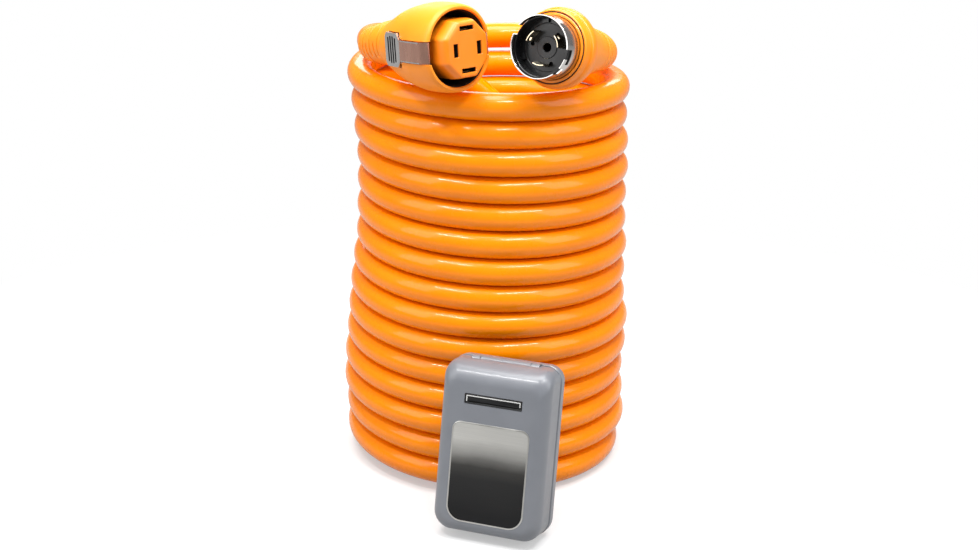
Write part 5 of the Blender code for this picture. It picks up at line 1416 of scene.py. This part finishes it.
def build_floor():
    bm = bmesh.new()
    bmesh.ops.create_grid(bm, x_segments=1, y_segments=1, size=6.0)
    floor = add_object("floor", to_mesh(bm))
    floor.data.materials.append(floor_material())


def build_world():
    """A dim even fill that the camera sees as white."""
    world = bpy.data.worlds.new("studio")
    bpy.context.scene.world = world
    world.use_nodes = True
    tree = world.node_tree
    fill = tree.nodes["Background"]
    put(fill.inputs["Color"], WHITE)
    put(fill.inputs["Strength"], WORLD_FILL)
    white = add_node(tree, "Background", Color=WHITE)
    seen = add_node(tree, "LightPath").outputs["Is Camera Ray"]
    show(tree, add_node(tree, "MixShader", seen, fill.outputs["Background"], white.outputs["Background"]))


def build_lamps():
    for name, place, size, power in LAMPS:
        light = bpy.data.lights.new(name, "AREA")
        light.shape = "RECTANGLE"
        light.size, light.size_y = size
        light.energy = power
        lamp = add_object(name, light)
        lamp.location = place
        direction = Vector(LAMP_TARGET) - Vector(place)
        lamp.rotation_euler = direction.to_track_quat("-Z", "Y").to_euler()


def build_camera():
    data = bpy.data.cameras.new("camera")
    data.sensor_width = SENSOR_W
    data.lens = FITTED_FOCAL * ZOOM * SENSOR_W / IMAGE_W
    data.shift_x = SHIFT_X / IMAGE_W
    data.shift_y = -SHIFT_Y / IMAGE_W
    camera = add_object("camera", data)
    ahead = Vector((0, math.cos(CAMERA_DOWN), -math.sin(CAMERA_DOWN)))
    right = Vector((1, 0, 0))
    up = right.cross(ahead)
    turned_right = right * math.cos(CAMERA_ROLL) + up * math.sin(CAMERA_ROLL)
    turned_up = turned_right.cross(ahead)
    turn = Matrix((turned_right, turned_up, -ahead)).transposed().to_4x4()
    camera.matrix_world = Matrix.Translation(CAMERA_PLACE + AXIS) @ turn
    bpy.context.scene.camera = camera


# -------- assembly
def plug_frame():
    forward = assembly_matrix((0, 0, 0), PLUG_YAW, PLUG_TILT).to_3x3() @ FORWARD
    rim = Vector(PLUG_FLANGE) + forward * FLANGE_BACK
    return assembly_matrix(rim, PLUG_YAW, PLUG_TILT)


def inlet_frame():
    """The inlet stands on its lower edge and leans back on the coil."""
    lean = math.radians(INLET_LEAN)
    centre = (INLET_X, INLET_Y + INLET_H / 2 * math.sin(lean), INLET_H / 2 * math.cos(lean))
    return assembly_matrix(centre, INLET_YAW, INLET_LEAN)


def repaint_nodes():
    """Materials for the CAD nodes that show as they are."""
    repaint("grey_back", "inlet_rear_cover")
    repaint("rubber", "inlet_gasket", "inlet_lid_gasket", "inlet_grommet")
    repaint("black", "inlet_pin_carrier")
    repaint("clamp", "connector_cable_clamp", "plug_cable_clamp")
    repaint("steel", "inlet_hinge_pin", "inlet_lid_spring")
    repaint("steel", *["inlet_cover_screw_%d" % number for number in (1, 2, 3, 4)])
    for side_name in ("left", "right"):
        repaint("steel", "connector_latch_pin_" + side_name, "connector_latch_spring_" + side_name)
    for core in CORE_COLOURS:
        repaint("bronze_shaded", "connector_contact_" + core)
        repaint("brass", "inlet_pin_" + core)
        repaint("core_" + core, "connector_core_" + core)
        if core != "ground":
            repaint("core_" + core, "plug_core_" + core)


bpy.context.scene.view_settings.view_transform = "Standard"
connector_matrix = assembly_matrix(CONNECTOR_RIM, CONNECTOR_YAW, CONNECTOR_TILT)
connector_forward = connector_matrix.to_3x3() @ FORWARD
connector_rear = connector_matrix @ Vector((0, 0, -SHELL_LENGTH)) - AXIS
plug_matrix = plug_frame()
plug_forward = plug_matrix.to_3x3() @ FORWARD
plug_rear = plug_matrix @ Vector((0, 0, -BODY_REAR)) - AXIS

build_camera()
connector_lead = lead_route(connector_rear, connector_forward, CONNECTOR_ROUTE, -RUN_IN_SWEEP, True)
plug_lead = lead_route(plug_rear, plug_forward, PLUG_ROUTE[::-1], COIL_SWEEP, False)
cable = build_cable(cable_line(connector_lead, plug_lead, connector_forward, plug_forward))
build_boot("connector_relief", connector_lead, SHELL_REAR_R, 2.6 * MM, False, "connector_boot")
build_boot("plug_relief", plug_lead, PLUG_BOOT_R, 0.9 * MM, True, "plug_boot")
build_connector(connector_matrix)
build_plug(plug_matrix)
build_inlet(inlet_frame())
repaint_nodes()

build_floor()
build_world()
build_lamps()
